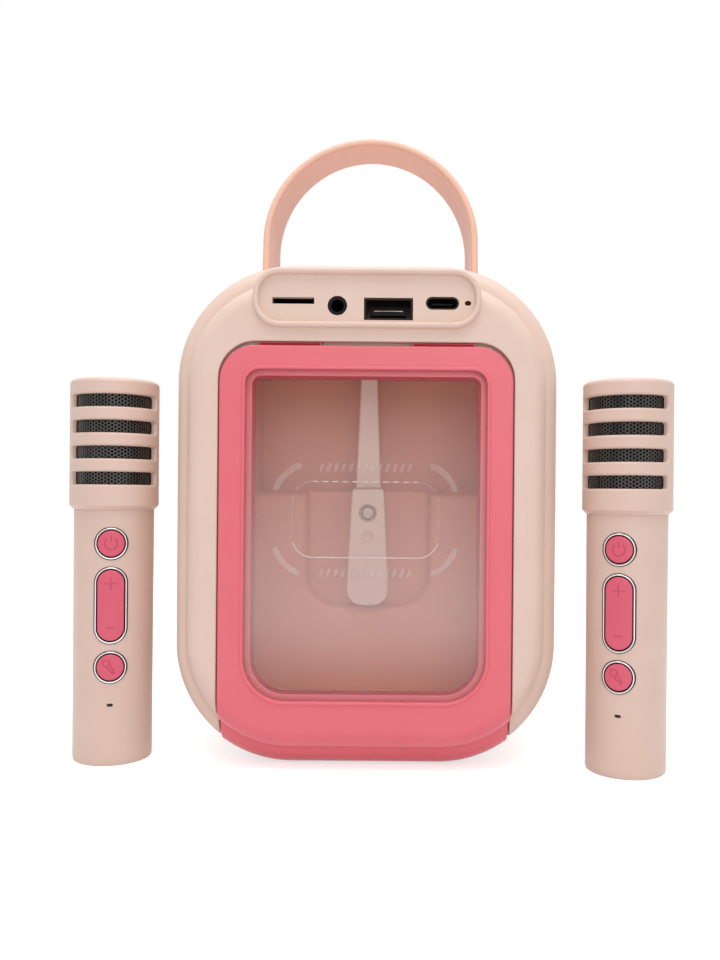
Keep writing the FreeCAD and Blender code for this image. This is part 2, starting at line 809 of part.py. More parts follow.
inner_screws.append(screw(partition_seat_point, TO_FRONT))
nodes["bay_tub"] = tub.removeSplitter()

# Sockets: each stands on the socket board and reaches to just behind the panel's face
usb_a_shell_width = usb_a_width - 2 * usb_a_gap
usb_a_shell_height = usb_a_height - 2 * usb_a_gap


def plug_room(x, z, width, height, depth_low, depth_high):
    return slab(x - width / 2, x + width / 2, z - height / 2, z + height / 2, depth_low, depth_high)


usb_a = plug_room(usb_a_x, usb_a_z, usb_a_shell_width, usb_a_shell_height, socket_set_back, socket_back)
usb_a_room_width = usb_a_shell_width - 2 * socket_wall
usb_a_room_height = usb_a_shell_height - 2 * socket_wall
plug_floor = socket_back - socket_floor_thick
usb_a = usb_a.cut(plug_room(usb_a_x, usb_a_z, usb_a_room_width, usb_a_room_height, 0, plug_floor))
usb_a = usb_a.fuse(plug_room(usb_a_x, usb_a_z + usb_a_room_height * usb_a_tongue_rise_share,
                             usb_a_room_width * usb_a_tongue_width_share,
                             usb_a_room_height * usb_a_tongue_height_share, tongue_set_back, socket_back))
nodes["usb_a_socket"] = usb_a.removeSplitter()

usb_c_shell_width = usb_c_width - 2 * slide_gap
usb_c_shell_height = usb_c_height - 2 * slide_gap
usb_c = capsule_slab(usb_c_x, usb_c_z, usb_c_shell_width, usb_c_shell_height, socket_set_back, socket_back)
usb_c = usb_c.cut(capsule_slab(usb_c_x, usb_c_z, usb_c_shell_width - 2 * socket_wall,
                               usb_c_shell_height - 2 * socket_wall, 0, plug_floor))
usb_c = usb_c.fuse(plug_room(usb_c_x, usb_c_z, usb_c_shell_width * usb_c_tongue_width_share,
                             usb_c_shell_height * usb_c_tongue_height_share, tongue_set_back, socket_back))
nodes["usb_c_socket"] = usb_c.removeSplitter()

audio_barrel = audio_hole_radius - slide_gap
audio_block = 2 * audio_barrel + 2 * socket_wall
audio_floor = socket_back - audio_floor_thick
audio = rod(audio_x, socket_set_back, audio_z, audio_barrel, socket_back - socket_set_back, TO_FRONT)
audio = audio.fuse(plug_room(audio_x, audio_z, audio_block, audio_block, body_wall + seat_gap, socket_back))
audio = audio.cut(rod(audio_x, 0, audio_z, audio_bore_radius, audio_floor, TO_FRONT))
nodes["audio_jack"] = audio.removeSplitter()

card_front = body_wall + seat_gap
card = plug_room(card_x, card_z, card_slot_width + 2 * card_side_wall, card_slot_height + 2 * card_face_wall,
                 card_front, socket_back)
card = card.cut(plug_room(card_x, card_z, card_slot_width - socket_wall, card_slot_height - socket_wall,
                          card_front, plug_floor))
nodes["card_socket"] = card
nodes["charge_light_pipe"] = capsule_slab(light_x, light_z, light_width - seat_gap, light_height - seat_gap,
                                          seat_gap, socket_back)

socket_board = slab(-socket_board_half, socket_board_half, socket_board_bottom,
                    socket_board_bottom + socket_board_height, socket_back, socket_back + board_thick,
                    board_corner, board_corner)
for seat in socket_seats:
    socket_board = socket_board.cut(screw_hole(seat, TO_BACK))
nodes["socket_board"] = socket_board

# Front shell: cup with the loudspeaker baffle, tongues for the side screws and ribs for the handle
front = outline_slab(0, seam_depth, body_depth)
front = front.makeFillet(front_round, edges_at_depth(front, body_depth))
room = outline_slab(body_wall, seam_depth - fuse_overlap, baffle_back)
room = room.makeFillet(front_round - body_wall, edges_at_depth(room, baffle_back))
front = front.cut(room)
front = front.cut(outline_slab(grille_inset, baffle_front, body_depth + fuse_overlap))
front = front.cut(rod(0, baffle_back - fuse_overlap, speaker_height, speaker_opening,
                      baffle_front - baffle_back + 2 * fuse_overlap, TO_FRONT))

tongue_gap_inset = body_wall + seat_gap
tongue_inner_inset = tongue_gap_inset + tongue_thick
tongue_root = seam_depth + tongue_thick
tongue_ring = outline_slab(tongue_gap_inset, tongue_start, tongue_root)
tongue_ring = tongue_ring.fuse(outline_slab(body_wall / 2, seam_depth, tongue_root))
tongue_ring = tongue_ring.cut(outline_slab(tongue_inner_inset, 0, body_depth))
for z in side_screw_heights:
    level = box(-body_width, body_width, 0, body_depth, z - tongue_width / 2, z + tongue_width / 2)
    front = front.fuse(tongue_ring.common(level))
for hole in side_holes:
    front = front.cut(hole)

rib_outer = handle_inner_x - seat_gap
clamp_inner = handle_leg_x + seat_gap
clamp_outer = clamp_inner + clamp_thick + screw_head_height + clamp_roof_gap
clamp_high = roof_inside(clamp_outer) - clamp_roof_gap
clamp_low = clamp_high - clamp_height
clamp_screw_height = clamp_high - clamp_height / 2
handle_end = clamp_low - clamp_end_gap
rib_space = outline_slab(body_wall / 2, seam_depth, baffle_back)
clamps = []
clamp_seats = []
for side in (-1, 1):
    rib_edges = sorted((side * rib_outer, side * (rib_outer - handle_rib)))
    rib = box(rib_edges[0], rib_edges[1], handle_low_depth, handle_high_depth, handle_end, body_top)
    front = front.fuse(rib.common(rib_space))
    slot_edges = sorted((side * (handle_inner_x - seat_gap), side * (handle_leg_x + seat_gap)))
    front = front.cut(box(slot_edges[0], slot_edges[1], handle_low_depth - seat_gap,
                          handle_high_depth + seat_gap, handle_end - fuse_overlap, body_top))
    clamp_edges = sorted((side * clamp_inner, side * (clamp_inner + clamp_thick)))
    clamp = box(clamp_edges[0], clamp_edges[1], handle_middle - clamp_length / 2,
                handle_middle + clamp_length / 2, clamp_low, clamp_high)
    for shift in (-clamp_screw_spread, clamp_screw_spread):
        seat = vec(side * (clamp_inner + clamp_thick), back_y + handle_middle + shift, clamp_screw_height)
        clamp_seats.append((seat, vec(-side, 0, 0)))
        clamp = clamp.cut(screw_hole(*clamp_seats[-1]))
    clamps.append(clamp)
nodes["handle_clamps"] = Part.makeCompound(clamps)

# Handle: one bent strap, wide where it enters the body and narrower over the top
strap = slab(-handle_leg_x, handle_leg_x, handle_end, handle_top, handle_low_depth, handle_high_depth,
             0, handle_leg_x)
strap_room = slab(-handle_inner_x, handle_inner_x, handle_end - fuse_overlap, handle_top - handle_thick,
                  0, body_depth, 0, handle_inner_x)
strap_outline = slab(-handle_leg_x, handle_leg_x, handle_end, handle_top, 0, body_depth, 0, handle_leg_x)
strap = strap.cut(strap_room)
leg_half = handle_leg_depth / 2
top_half = handle_top_depth / 2
taper_start = body_top
taper_end = handle_end - fuse_overlap
handle_span = 2 * handle_leg_x
taper_points = [vec(-handle_span, -leg_half, taper_end), vec(-handle_span, -leg_half, taper_start),
                vec(-handle_span, -top_half, handle_top), vec(-handle_span, top_half, handle_top),
                vec(-handle_span, leg_half, taper_start), vec(-handle_span, leg_half, taper_end)]
taper = Part.Face(Part.makePolygon(taper_points + taper_points[:1])).extrude(vec(2 * handle_span, 0, 0))
strap = strap.common(taper)
strap_edges = edges_on_both(strap, strap_outline, taper) + edges_on_both(strap, strap_room, taper)
strap = strap.makeFillet(handle_round, strap_edges)
for seat, direction in clamp_seats:
    strap = strap.cut(screw_hole(seat, direction))
    front = front.cut(screw_hole(seat, direction))
    inner_screws.append(screw(seat, direction))
nodes["handle_strap"] = strap

# Controls on the top: panel let into the shell, five buttons through it, board hung below on pillars
wall_inside = body_top - body_wall
panel_floor = body_top - panel_thick


def top_plate(width, depth, z_low, z_high, corner):
    """Plate seen from above, with rounded corners, in the middle of the top."""
    plate = Part.makeBox(width, depth, z_high - z_low, vec(-width / 2, -depth / 2, z_low))
    upright = [e for e in plate.Edges if abs(e.BoundBox.ZLength - (z_high - z_low)) < match_tolerance]
    return plate.makeFillet(corner, upright)


front = front.cut(top_plate(panel_width + 2 * seat_gap, panel_depth + 2 * seat_gap, panel_floor,
                            body_top + fuse_overlap, panel_corner + seat_gap))
panel = top_plate(panel_width, panel_depth, panel_floor, body_top, panel_corner)
control_board = top_plate(2 * control_board_half, control_board_depth, control_board_top - board_thick,
                          control_board_top, panel_corner)
for index, name in enumerate(control_names):
    x = (index - control_middle) * control_pitch
    foot = vec(x, 0, control_foot)
    stem_height = body_top + control_proud - control_foot
    stem = Part.makeCylinder(control_radius, stem_height, foot)
    crown = [e for e in stem.Edges if abs(e.BoundBox.ZMin - foot.z - stem_height) < match_tolerance]
    stem = stem.makeFillet(control_round, crown)
    flange_low = wall_inside - slide_gap - control_flange_thick
    flange = Part.makeCylinder(control_flange_radius, control_flange_thick, vec(x, 0, flange_low))
    nodes["button_" + name] = stem.fuse(flange).removeSplitter()
    passage = Part.makeCylinder(control_radius + slide_gap, body_wall + 2 * fuse_overlap,
                                vec(x, 0, wall_inside - fuse_overlap))
    front = front.cut(passage)
    panel = panel.cut(passage)
    switch_base = control_board_top - board_thick / 2
    switch = Part.makeCylinder(switch_radius, control_foot - switch_gap - switch_base, vec(x, 0, switch_base))
    control_board = control_board.fuse(switch)
nodes["control_panel"] = panel
for x in (-control_pillar_x, control_pillar_x):
    pillar_top = panel_floor - seat_gap
    front = front.fuse(Part.makeCylinder(control_pillar_radius, pillar_top - control_board_top,
                                         vec(x, 0, control_board_top)))
    seat = vec(x, 0, control_board_top - board_thick)
    pilot = screw_hole(seat, UP).common(Part.makeBox(body_width, body_width, screw_length + body_wall,
                                                     vec(-half_width, -half_width, seat.z - fuse_overlap)))
    front = front.cut(pilot)
    control_board = control_board.cut(pilot)
    inner_screws.append(screw(seat, UP))
nodes["control_board"] = control_board

for pocket in foot_pockets:
    front = front.cut(pocket)

# Loudspeaker behind the baffle: basket, magnet and cone, with the grille and its ring in front
basket_front = baffle_back - speaker_flange
basket_plate = basket_front - basket_wall
basket_length = basket_plate - speaker_basket_deep
cone_rim = speaker_opening + basket_wall
basket_start = vec(0, back_y + speaker_basket_deep, speaker_height)
basket = Part.makeCone(speaker_neck + basket_wall, speaker_opening + basket_wall, basket_length,
                       basket_start, TO_FRONT)
basket = basket.fuse(rod(0, basket_plate, speaker_height, speaker_radius,
                         basket_wall + speaker_flange, TO_FRONT))
basket = basket.cut(Part.makeCone(speaker_neck, speaker_opening, basket_length, basket_start, TO_FRONT))
basket = basket.cut(rod(0, basket_plate, speaker_height, speaker_opening - basket_wall,
                        basket_wall, TO_FRONT))
basket = basket.cut(rod(0, basket_front, speaker_height, cone_rim + cone_gap, speaker_flange, TO_FRONT))
for angle in speaker_screw_angles:
    x = speaker_screw_circle * math.cos(math.radians(angle))
    z = speaker_height + speaker_screw_circle * math.sin(math.radians(angle))
    seat = vec(x, back_y + basket_plate, z)
    basket = basket.cut(screw_hole(seat, TO_FRONT))
    screw_tip = basket_plate + screw_length + bore_gap
    bite = screw_hole(seat, TO_FRONT).common(box(-half_width, half_width, 0, screw_tip, 0, body_top))
    front = front.cut(bite)
    inner_screws.append(screw(seat, TO_FRONT))
nodes["speaker_basket"] = basket.removeSplitter()
magnet = rod(0, magnet_back, speaker_height, magnet_radius, magnet_thick, TO_FRONT)
magnet = magnet.cut(rod(0, magnet_back, speaker_height, magnet_bore, magnet_thick, TO_FRONT))
nodes["speaker_magnet"] = magnet

cone_length = basket_length * cone_depth_share
cone_back = basket_front - cone_length
cone_start = vec(0, back_y + cone_back, speaker_height)
cone_mouth = speaker_opening - 2 * basket_wall
cone = Part.makeCone(dust_cap_radius, cone_mouth, cone_length, cone_start, TO_FRONT)
cone = cone.cut(Part.makeCone(dust_cap_radius, cone_mouth, cone_length,
                              cone_start + TO_FRONT * cone_wall, TO_FRONT))
rim = rod(0, basket_front, speaker_height, cone_rim, cone_rim_thick, TO_FRONT)
rim = rim.cut(rod(0, basket_front, speaker_height, cone_mouth - cone_rim_thick, cone_rim_thick, TO_FRONT))
nodes["speaker_cone"] = cone.fuse(rim).removeSplitter()

ring_outer = grille_inset + seat_gap
ring = outline_slab(ring_outer, baffle_front, body_depth)
ring = ring.cut(outline_slab(ring_outer + ring_width, baffle_front - fuse_overlap,
                             body_depth + fuse_overlap))
nodes["grille_ring"] = ring.makeFillet(ring_round, edges_at_depth(ring, body_depth))
grille_outline = outline_slab(ring_outer + ring_width + seat_gap, baffle_front, baffle_front + grille_thick)
grille_back = back_y + baffle_front
grille_face = [f for f in grille_outline.Faces if abs(f.CenterOfMass.y - grille_back) < match_tolerance][0]
row_step = grille_pitch * math.sqrt(3) / 2
row_count = int(grille_field / row_step)
column_count = int(grille_field / grille_pitch) + 1
holes = []
for row in range(-row_count, row_count + 1):
    for column in range(-column_count, column_count + 1):
        x = (column + (row % 2) / 2) * grille_pitch
        z = row * row_step
        if math.hypot(x, z) <= grille_field - grille_hole_radius:
            centre = vec(x, grille_back, speaker_height + z)
            holes.append(Part.Wire(Part.makeCircle(grille_hole_radius, centre, TO_FRONT)))
grille = Part.makeFace([grille_face.OuterWire] + holes, "Part::FaceMakerBullseye")
nodes["front_grille"] = grille.extrude(vec(0, grille_thick, 0))
nodes["front_shell"] = front.removeSplitter()

# Main board on the back of the bay tub, battery on the floor of the front shell
main_board = slab(-main_board_half, main_board_half, main_board_low, main_board_high,
                  main_board_back, main_board_back + board_thick, board_corner, board_corner)
for seat in main_seats:
    main_board = main_board.cut(screw_hole(seat, TO_BACK))
board_face = main_board_back + board_thick
board_middle = (main_board_low + main_board_high) / 2
for x in (-chip_pitch, 0, chip_pitch):
    main_board = main_board.fuse(box(x - chip_size / 2, x + chip_size / 2, board_face - board_thick / 2,
                                     board_face + board_thick, board_middle, board_middle + chip_size))
nodes["main_board"] = main_board
battery_floor = body_bottom + body_wall
battery = box(-battery_half, battery_half, battery_start, battery_start + battery_depth,
              battery_floor, battery_floor + battery_height)
battery_edges = [e for e in battery.Edges if e.BoundBox.ZLength > battery_height / 2]
nodes["battery_pack"] = battery.makeFillet(battery_round, battery_edges)
nodes["inner_screws"] = Part.makeCompound(inner_screws)


# Microphone: casing, slotted head over a mesh, three controls in chrome rings, inner pieces
def mic_rod(z, radius, y_back):
    """Round bar from inside the microphone out through its front."""
    return Part.makeCylinder(radius, mic_head_radius - y_back, vec(0, -y_back, z), TO_BACK)


def mic_capsule_bar(z, width, length, y_back):
    """Upright bar with rounded ends, from inside the microphone out through its front."""
    rounding = min(width, length) / 2
    corners = ((-width / 2, z - length / 2), (width / 2, z - length / 2),
               (width / 2, z + length / 2), (-width / 2, z + length / 2))
    face = Part.Face(rounded_wire(corners, (rounding,) * 4, -y_back))
    return face.extrude(vec(0, y_back - mic_head_radius, 0))


def mic_skin(grow):
    """The casing's tapered outside, made larger by grow."""
    return Part.makeCone(mic_foot_radius + grow, mic_radius + grow, mic_head_bottom - mic_base_thick,
                         vec(0, 0, mic_base_thick))


def mic_pillar(radius, z_low, z_high):
    return Part.makeCylinder(radius, z_high - z_low, vec(0, 0, z_low))


def mic_slot(z, facing):
    """Window through one side of the head, square to its wall, with rounded corners."""
    low = z - mic_slot_height / 2
    high = z + mic_slot_height / 2
    outside = mic_head_radius + fuse_overlap
    section = Part.makePolygon([vec(mic_bore_radius, 0, low), vec(outside, 0, low), vec(outside, 0, high),
                                vec(mic_bore_radius, 0, high), vec(mic_bore_radius, 0, low)])
    sector = Part.Face(section).revolve(vec(0, 0, 0), UP, 2 * mic_slot_half_angle)
    end_edges = [e for e in sector.Edges if e.Curve.TypeId == "Part::GeomLine"
                 and e.BoundBox.ZLength < match_tolerance]
    sector = sector.makeFillet(mic_slot_corner, end_edges)
    sector.rotate(vec(0, 0, 0), UP, facing - mic_slot_half_angle)
    return sector


def round_control(z, grow, y_back):
    return mic_rod(z, mic_button_radius + grow, y_back)


def long_control(z, grow, y_back):
    return mic_capsule_bar(z, mic_rocker_width + 2 * grow, mic_rocker_length + 2 * grow, y_back)


def microphone():
    """The pieces of one microphone, standing on the floor with its controls to the back."""
    pieces = {}
    casing = mic_skin(0).fuse(mic_pillar(mic_spigot_radius, mic_head_bottom, mic_spigot_top))
    casing = casing.cut(mic_pillar(mic_bore_radius, 0, mic_floor))
    casing = casing.cut(mic_pillar(mic_bore_radius, mic_floor + mic_floor_thick, mic_head_top))
    inside = mic_pillar(mic_bore_radius - slide_gap, 0, mic_floor)
    controls = {"power_button": (mic_power_height, round_control),
                "volume_rocker": (mic_rocker_height, long_control),
                "effect_button": (mic_effect_height, round_control)}
    rings = []
    ring_bed = mic_skin(-mic_ring_sink)
    for name, (z, bar) in controls.items():
        button_bar = bar(z, 0, mic_button_back)
        button_skin = mic_skin(mic_button_proud)
        button = button_bar.common(button_skin)
        button = button.makeFillet(mic_button_round, edges_on_both(button, button_bar, button_skin))
        if name == "volume_rocker":
            wing = mic_rocker_width / 2 + mic_button_flange
            catch = Part.makeBox(2 * wing, mic_radius - mic_button_back, mic_catch_height,
                                 vec(-wing, -mic_radius, z - mic_catch_height / 2))
        else:
            catch = bar(z, mic_button_flange, mic_button_back)
        pieces[name] = button.fuse(catch.common(inside)).removeSplitter()
        ring_bar = bar(z, slide_gap + mic_ring_width, 0)
        ring_hole = bar(z, slide_gap, 0)
        ring_skin = mic_skin(mic_ring_proud)
        ring = ring_bar.cut(ring_hole).common(ring_skin.cut(ring_bed)).Solids[0]
        ring_edges = edges_on_both(ring, ring_bar, ring_skin) + edges_on_both(ring, ring_hole, ring_skin)
        rings.append(ring.makeFillet(mic_ring_round, ring_edges))
        casing = casing.cut(bar(z, slide_gap, 0))
        casing = casing.cut(bar(z, slide_gap + mic_ring_width + bore_gap, 0).cut(ring_bed))
    light = mic_capsule_bar(mic_light_height, mic_light_width, mic_light_size, mic_button_back)
    casing = casing.cut(mic_capsule_bar(mic_light_height, mic_light_width + seat_gap,
                                        mic_light_size + seat_gap, 0))
    pieces["indicator"] = light.common(mic_skin(0))
    pieces["casing"] = casing
    pieces["button_rings"] = Part.makeCompound(rings)

    head = mic_pillar(mic_head_radius, mic_head_bottom, mic_head_top)
    low_edge = [e for e in head.Edges if abs(e.BoundBox.ZMax - mic_head_bottom) < match_tolerance]
    head = head.makeChamfer(mic_head_chamfer, low_edge)
    top_edge = [e for e in head.Edges if abs(e.BoundBox.ZMin - mic_head_top) < match_tolerance]
    head = head.makeFillet(mic_head_round, top_edge)
    head_form = mic_pillar(mic_head_radius, 0, mic_head_top + mic_head_height)
    head_inner = mic_head_radius - mic_head_wall
    mesh_top = mic_head_top - mic_head_wall
    head = head.cut(mic_pillar(head_inner, mic_head_bottom, mesh_top))
    for level in range(mic_slot_count):
        z = mic_slot_first + level * mic_slot_pitch
        for facing in mic_slot_facings:
            slot = mic_slot(z, facing)
            head = head.cut(slot)
            head = head.makeFillet(mic_slot_round, edges_on_both(head, slot, head_form))
    pieces["head"] = head
    mesh_radius = head_inner - slide_gap
    mesh = mic_pillar(mesh_radius, mic_spigot_top, mesh_top)
    pieces["mesh"] = mesh.cut(mic_pillar(mesh_radius - mic_mesh_thick, mic_spigot_top, mesh_top))
    floor_top = mic_floor + mic_floor_thick
    pieces["capsule"] = mic_pillar(mic_inner_radius, floor_top, floor_top + mic_capsule_height)

    base = mic_pillar(mic_foot_radius - seat_gap, 0, mic_base_thick)
    rim_edge = [e for e in base.Edges if abs(e.BoundBox.ZMax) < match_tolerance]
    base = base.makeFillet(mic_base_round, rim_edge)
    plug = mic_pillar(mic_bore_radius - seat_gap, mic_base_thick, mic_plug_top)
    pieces["base_cap"] = base.fuse(plug).removeSplitter()
    cell = mic_pillar(mic_inner_radius, mic_plug_top, mic_plug_top + mic_cell_length)
    cell.translate(vec(0, mic_cell_shift, 0))
    pieces["cell"] = cell
    pieces["board"] = Part.makeBox(mic_board_width, mic_board_thick, mic_board_top - mic_plug_top,
                                   vec(-mic_board_width / 2, -mic_board_front, mic_plug_top))
    return pieces


mic_places = {"mic_left": (-mic_spread, back_y + mic_left_depth, mic_left_turn),
              "mic_right": (mic_spread, back_y + mic_right_depth, mic_right_turn)}
mic_pieces = microphone()
for mic, (x, y, turn) in mic_places.items():
    for name, piece in mic_pieces.items():
        placed = piece.copy()
        placed.rotate(vec(0, 0, 0), UP, turn)
        placed.translate(vec(x, y, 0))
        nodes[mic + "_" + name] = placed

os.makedirs("parts", exist_ok=True)
for name, shape in nodes.items():
    kept = shape.Solids[0] if len(shape.Solids) == 1 else shape
    kept.exportStep("parts/" + name + ".step")
    print(name, len(shape.Solids), shape.isValid(), round(shape.Volume, 1))
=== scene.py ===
import math

import bmesh
import bpy
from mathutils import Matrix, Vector


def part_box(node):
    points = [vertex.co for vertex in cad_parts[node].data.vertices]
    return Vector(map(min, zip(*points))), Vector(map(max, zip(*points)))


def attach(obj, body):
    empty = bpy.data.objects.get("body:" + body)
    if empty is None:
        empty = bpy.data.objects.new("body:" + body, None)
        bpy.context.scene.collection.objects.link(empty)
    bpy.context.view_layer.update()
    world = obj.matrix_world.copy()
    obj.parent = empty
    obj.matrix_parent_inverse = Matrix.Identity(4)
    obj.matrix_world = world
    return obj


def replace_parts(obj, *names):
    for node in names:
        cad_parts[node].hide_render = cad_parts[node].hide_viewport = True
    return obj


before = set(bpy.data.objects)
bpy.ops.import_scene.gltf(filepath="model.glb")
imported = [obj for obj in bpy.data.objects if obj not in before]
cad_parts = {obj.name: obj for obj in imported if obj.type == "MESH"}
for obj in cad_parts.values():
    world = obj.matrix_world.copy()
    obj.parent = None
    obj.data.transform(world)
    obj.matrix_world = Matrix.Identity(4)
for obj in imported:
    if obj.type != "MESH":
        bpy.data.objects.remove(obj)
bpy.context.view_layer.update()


# Body shells: the rear half carries the socket boss and the door's rebate, the front half the loudspeaker.
# Both are injection moulded in peach ABS from a spark-eroded tool, and six screws from the sides hold them.
def linear(hex_colour):
    """Linear colour of an sRGB hex value."""
    channels = [int(hex_colour[start:start + 2], 16) / 255 for start in (1, 3, 5)]
    return [c / 12.92 if c <= 0.04045 else ((c + 0.055) / 1.055) ** 2.4 for c in channels] + [1.0]


def put(tree, kind, sockets=None, **settings):
    """Adds a node with its settings, and gives each named socket a value or a link."""
    node = tree.nodes.new(kind)
    for name, value in settings.items():
        setattr(node, name, value)
    for name, value in (sockets or {}).items():
        if isinstance(value, bpy.types.NodeSocket):
            tree.links.new(value, node.inputs[name])
        else:
            node.inputs[name].default_value = value
    return node


def new_material(name):
    """An empty material and its node tree."""
    material = bpy.data.materials.new(name)
    material.use_nodes = True
    material.node_tree.nodes.clear()
    return material, material.node_tree


def moulded_plastic(name, colour, shade, roughness, grain, height, shine=0.5):
    """Moulded plastic: colour drifts slightly where the melt flowed, and the tool's texture makes it matt."""
    flow_width = 0.014
    material, tree = new_material(name)
    place = put(tree, "ShaderNodeTexCoord").outputs["Object"]
    flow = put(tree, "ShaderNodeTexNoise", {"Vector": place, "Scale": 1 / flow_width, "Detail": 4.0})
    tone = put(tree, "ShaderNodeMix", {0: flow.outputs["Fac"], 6: linear(colour), 7: linear(shade)},
               data_type="RGBA")
    grit = put(tree, "ShaderNodeTexNoise", {"Vector": place, "Scale": 1 / grain, "Detail": 2.0})
    matt = put(tree, "ShaderNodeMapRange", {"Value": grit.outputs["Fac"], "To Min": roughness - 0.08,
                                            "To Max": roughness + 0.08})
    relief = put(tree, "ShaderNodeBump", {"Height": grit.outputs["Fac"], "Distance": height, "Strength": 0.6})
    skin = put(tree, "ShaderNodeBsdfPrincipled", {
        "Base Color": tone.outputs[2], "Roughness": matt.outputs["Result"], "IOR": 1.53,
        "Specular IOR Level": shine, "Normal": relief.outputs["Normal"]})
    put(tree, "ShaderNodeOutputMaterial", {"Surface": skin.outputs["BSDF"]})
    return material


def dress(material, *nodes):
    """Gives CAD nodes their material."""
    for node in nodes:
        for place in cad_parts[node].material_slots:
            place.material = material


# Peach ABS, spark textured: a soft even sheen. The real texture is about 0.1 mm, drawn at 0.35 mm to show.
peach_abs = moulded_plastic(
    "abs_peach_spark_textured", "#EBD0C2", "#E2C5B6", roughness=0.5, grain=0.00035, height=0.00004)
dress(peach_abs, "rear_shell", "front_shell")


# Handle: one strap over the top of the body, its feet pushed through the shoulders of the shells.
# Moulded in polypropylene, which bends without cracking; two steel clamps hold it from inside.
def rolled_metal(name, colour, shade, roughness, streak_width, streak_length):
    """Bare or plated metal: streaks of rolling or polishing, or wide painted reflection bands, vary its tone
    and shine.
    """
    material, tree = new_material(name)
    place = put(tree, "ShaderNodeTexCoord").outputs["Object"]
    drawn_out = put(tree, "ShaderNodeMapping", {
        "Vector": place, "Scale": (1 / streak_width, 1 / streak_width, 1 / streak_length)})
    streaks = put(tree, "ShaderNodeTexNoise", {
        "Vector": drawn_out.outputs["Vector"], "Scale": 1.0, "Detail": 3.0})
    tone = put(tree, "ShaderNodeMix", {0: streaks.outputs["Fac"], 6: linear(colour), 7: linear(shade)},
               data_type="RGBA")
    haze = put(tree, "ShaderNodeMapRange", {"Value": streaks.outputs["Fac"], "To Min": roughness * 0.7,
                                            "To Max": roughness * 1.3})
    relief = put(tree, "ShaderNodeBump", {
        "Height": streaks.outputs["Fac"], "Distance": 0.00001, "Strength": 0.4})
    skin = put(tree, "ShaderNodeBsdfPrincipled", {
        "Base Color": tone.outputs[2], "Metallic": 1.0, "Roughness": haze.outputs["Result"],
        "Normal": relief.outputs["Normal"]})
    put(tree, "ShaderNodeOutputMaterial", {"Surface": skin.outputs["BSDF"]})
    return material


# Peach polypropylene, satin: a little deeper and glossier than the shells; part of the depth is painted shade
# of its underside.
# The real texture is about 0.1 mm, drawn at 0.5 mm to show.
handle_polypropylene = moulded_plastic(
    "polypropylene_peach_satin", "#F2C3AC", "#EBB9A1", roughness=0.42, grain=0.0005, height=0.00002)
dress(handle_polypropylene, "handle_strap")
# Zinc plated steel, yellow passivated: a warm grey with a broken shine.
zinc_steel = rolled_metal(
    "steel_zinc_yellow_passivated", "#B7A598", "#A3938A",
    roughness=0.4, streak_width=0.0003, streak_length=0.004)
dress(zinc_steel, "handle_clamps", "inner_screws")


# Storage bay: a tub behind the door with a raised shelf below, split by a partition that one screw holds.
# Both are moulded in plain ABS from a polished tool, so they are smoother than the shells.
# The tub is coloured a deeper, redder peach than its plastic as painted shade of the bay; the partition is
# pale peach.
bay_painted_shade_abs = moulded_plastic(
    "abs_peach_polished_painted_shade", "#E29675", "#D98C6B", roughness=0.4, grain=0.004, height=0.00001)
dress(bay_painted_shade_abs, "bay_tub")
partition_abs = moulded_plastic(
    "abs_pale_peach_polished", "#EFD6C9", "#E8CCBE", roughness=0.4, grain=0.004, height=0.00001)
dress(partition_abs, "bay_partition")


# Sockets: memory card slot, audio jack, plug sockets and charge light, soldered to a board behind the boss.
# The plug sockets are folded steel shells round a black tongue with gilt contacts; the larger tongue has a
# bright steel strip along its nose.
def rounded_rectangle(width, height, radius, steps=6):
    """Points round a rectangle with rounded corners, about its middle."""
    points = []
    for quarter, (side, up) in enumerate([(1, 1), (-1, 1), (-1, -1), (1, -1)]):
        for step in range(steps + 1):
            turn = math.pi / 2 * (quarter + step / steps)
            points.append((side * (width / 2 - radius) + radius * math.cos(turn),
                           up * (height / 2 - radius) + radius * math.sin(turn)))
    return points


def loft(shape, rings, cap_first=False, cap_last=False):
    """Faces between rings of equally many points, and over the first and last ring where asked."""
    loops = [[shape.verts.new(point) for point in ring] for ring in rings]
    count = len(loops[0])
    for lower, upper in zip(loops, loops[1:]):
        for k in range(count):
            shape.faces.new((lower[k], lower[(k + 1) % count], upper[(k + 1) % count], upper[k]))
    if cap_first:
        shape.faces.new(loops[0])
    if cap_last:
        shape.faces.new(loops[-1])


def add_piece(name, shape, material, body):
    """Makes a piece of a bmesh, smooth between its sharp edges, and lets it ride on a body."""
    bmesh.ops.remove_doubles(shape, verts=shape.verts, dist=1e-7)
    bmesh.ops.recalc_face_normals(shape, faces=shape.faces)
    mesh = bpy.data.meshes.new(name)
    shape.to_mesh(mesh)
    shape.free()
    mesh.shade_smooth()
    mesh.set_sharp_from_angle(angle=math.radians(35))
    mesh.materials.append(material)
    piece = bpy.data.objects.new(name, mesh)
    bpy.context.collection.objects.link(piece)
    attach(piece, body)
    return piece


def socket_ring(node, width, height, radius, depth):
    """A rounded rectangle about the middle of a socket, at a depth behind its mouth."""
    low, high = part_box(node)
    middle = (low + high) / 2
    return [(middle.x + x, low.y + depth, middle.z + z) for x, z in rounded_rectangle(width, height, radius)]


# Depth of a plug socket's floor, and how far tongues and contacts are set into it.
socket_floor = 0.010
floor_hold = 0.0001


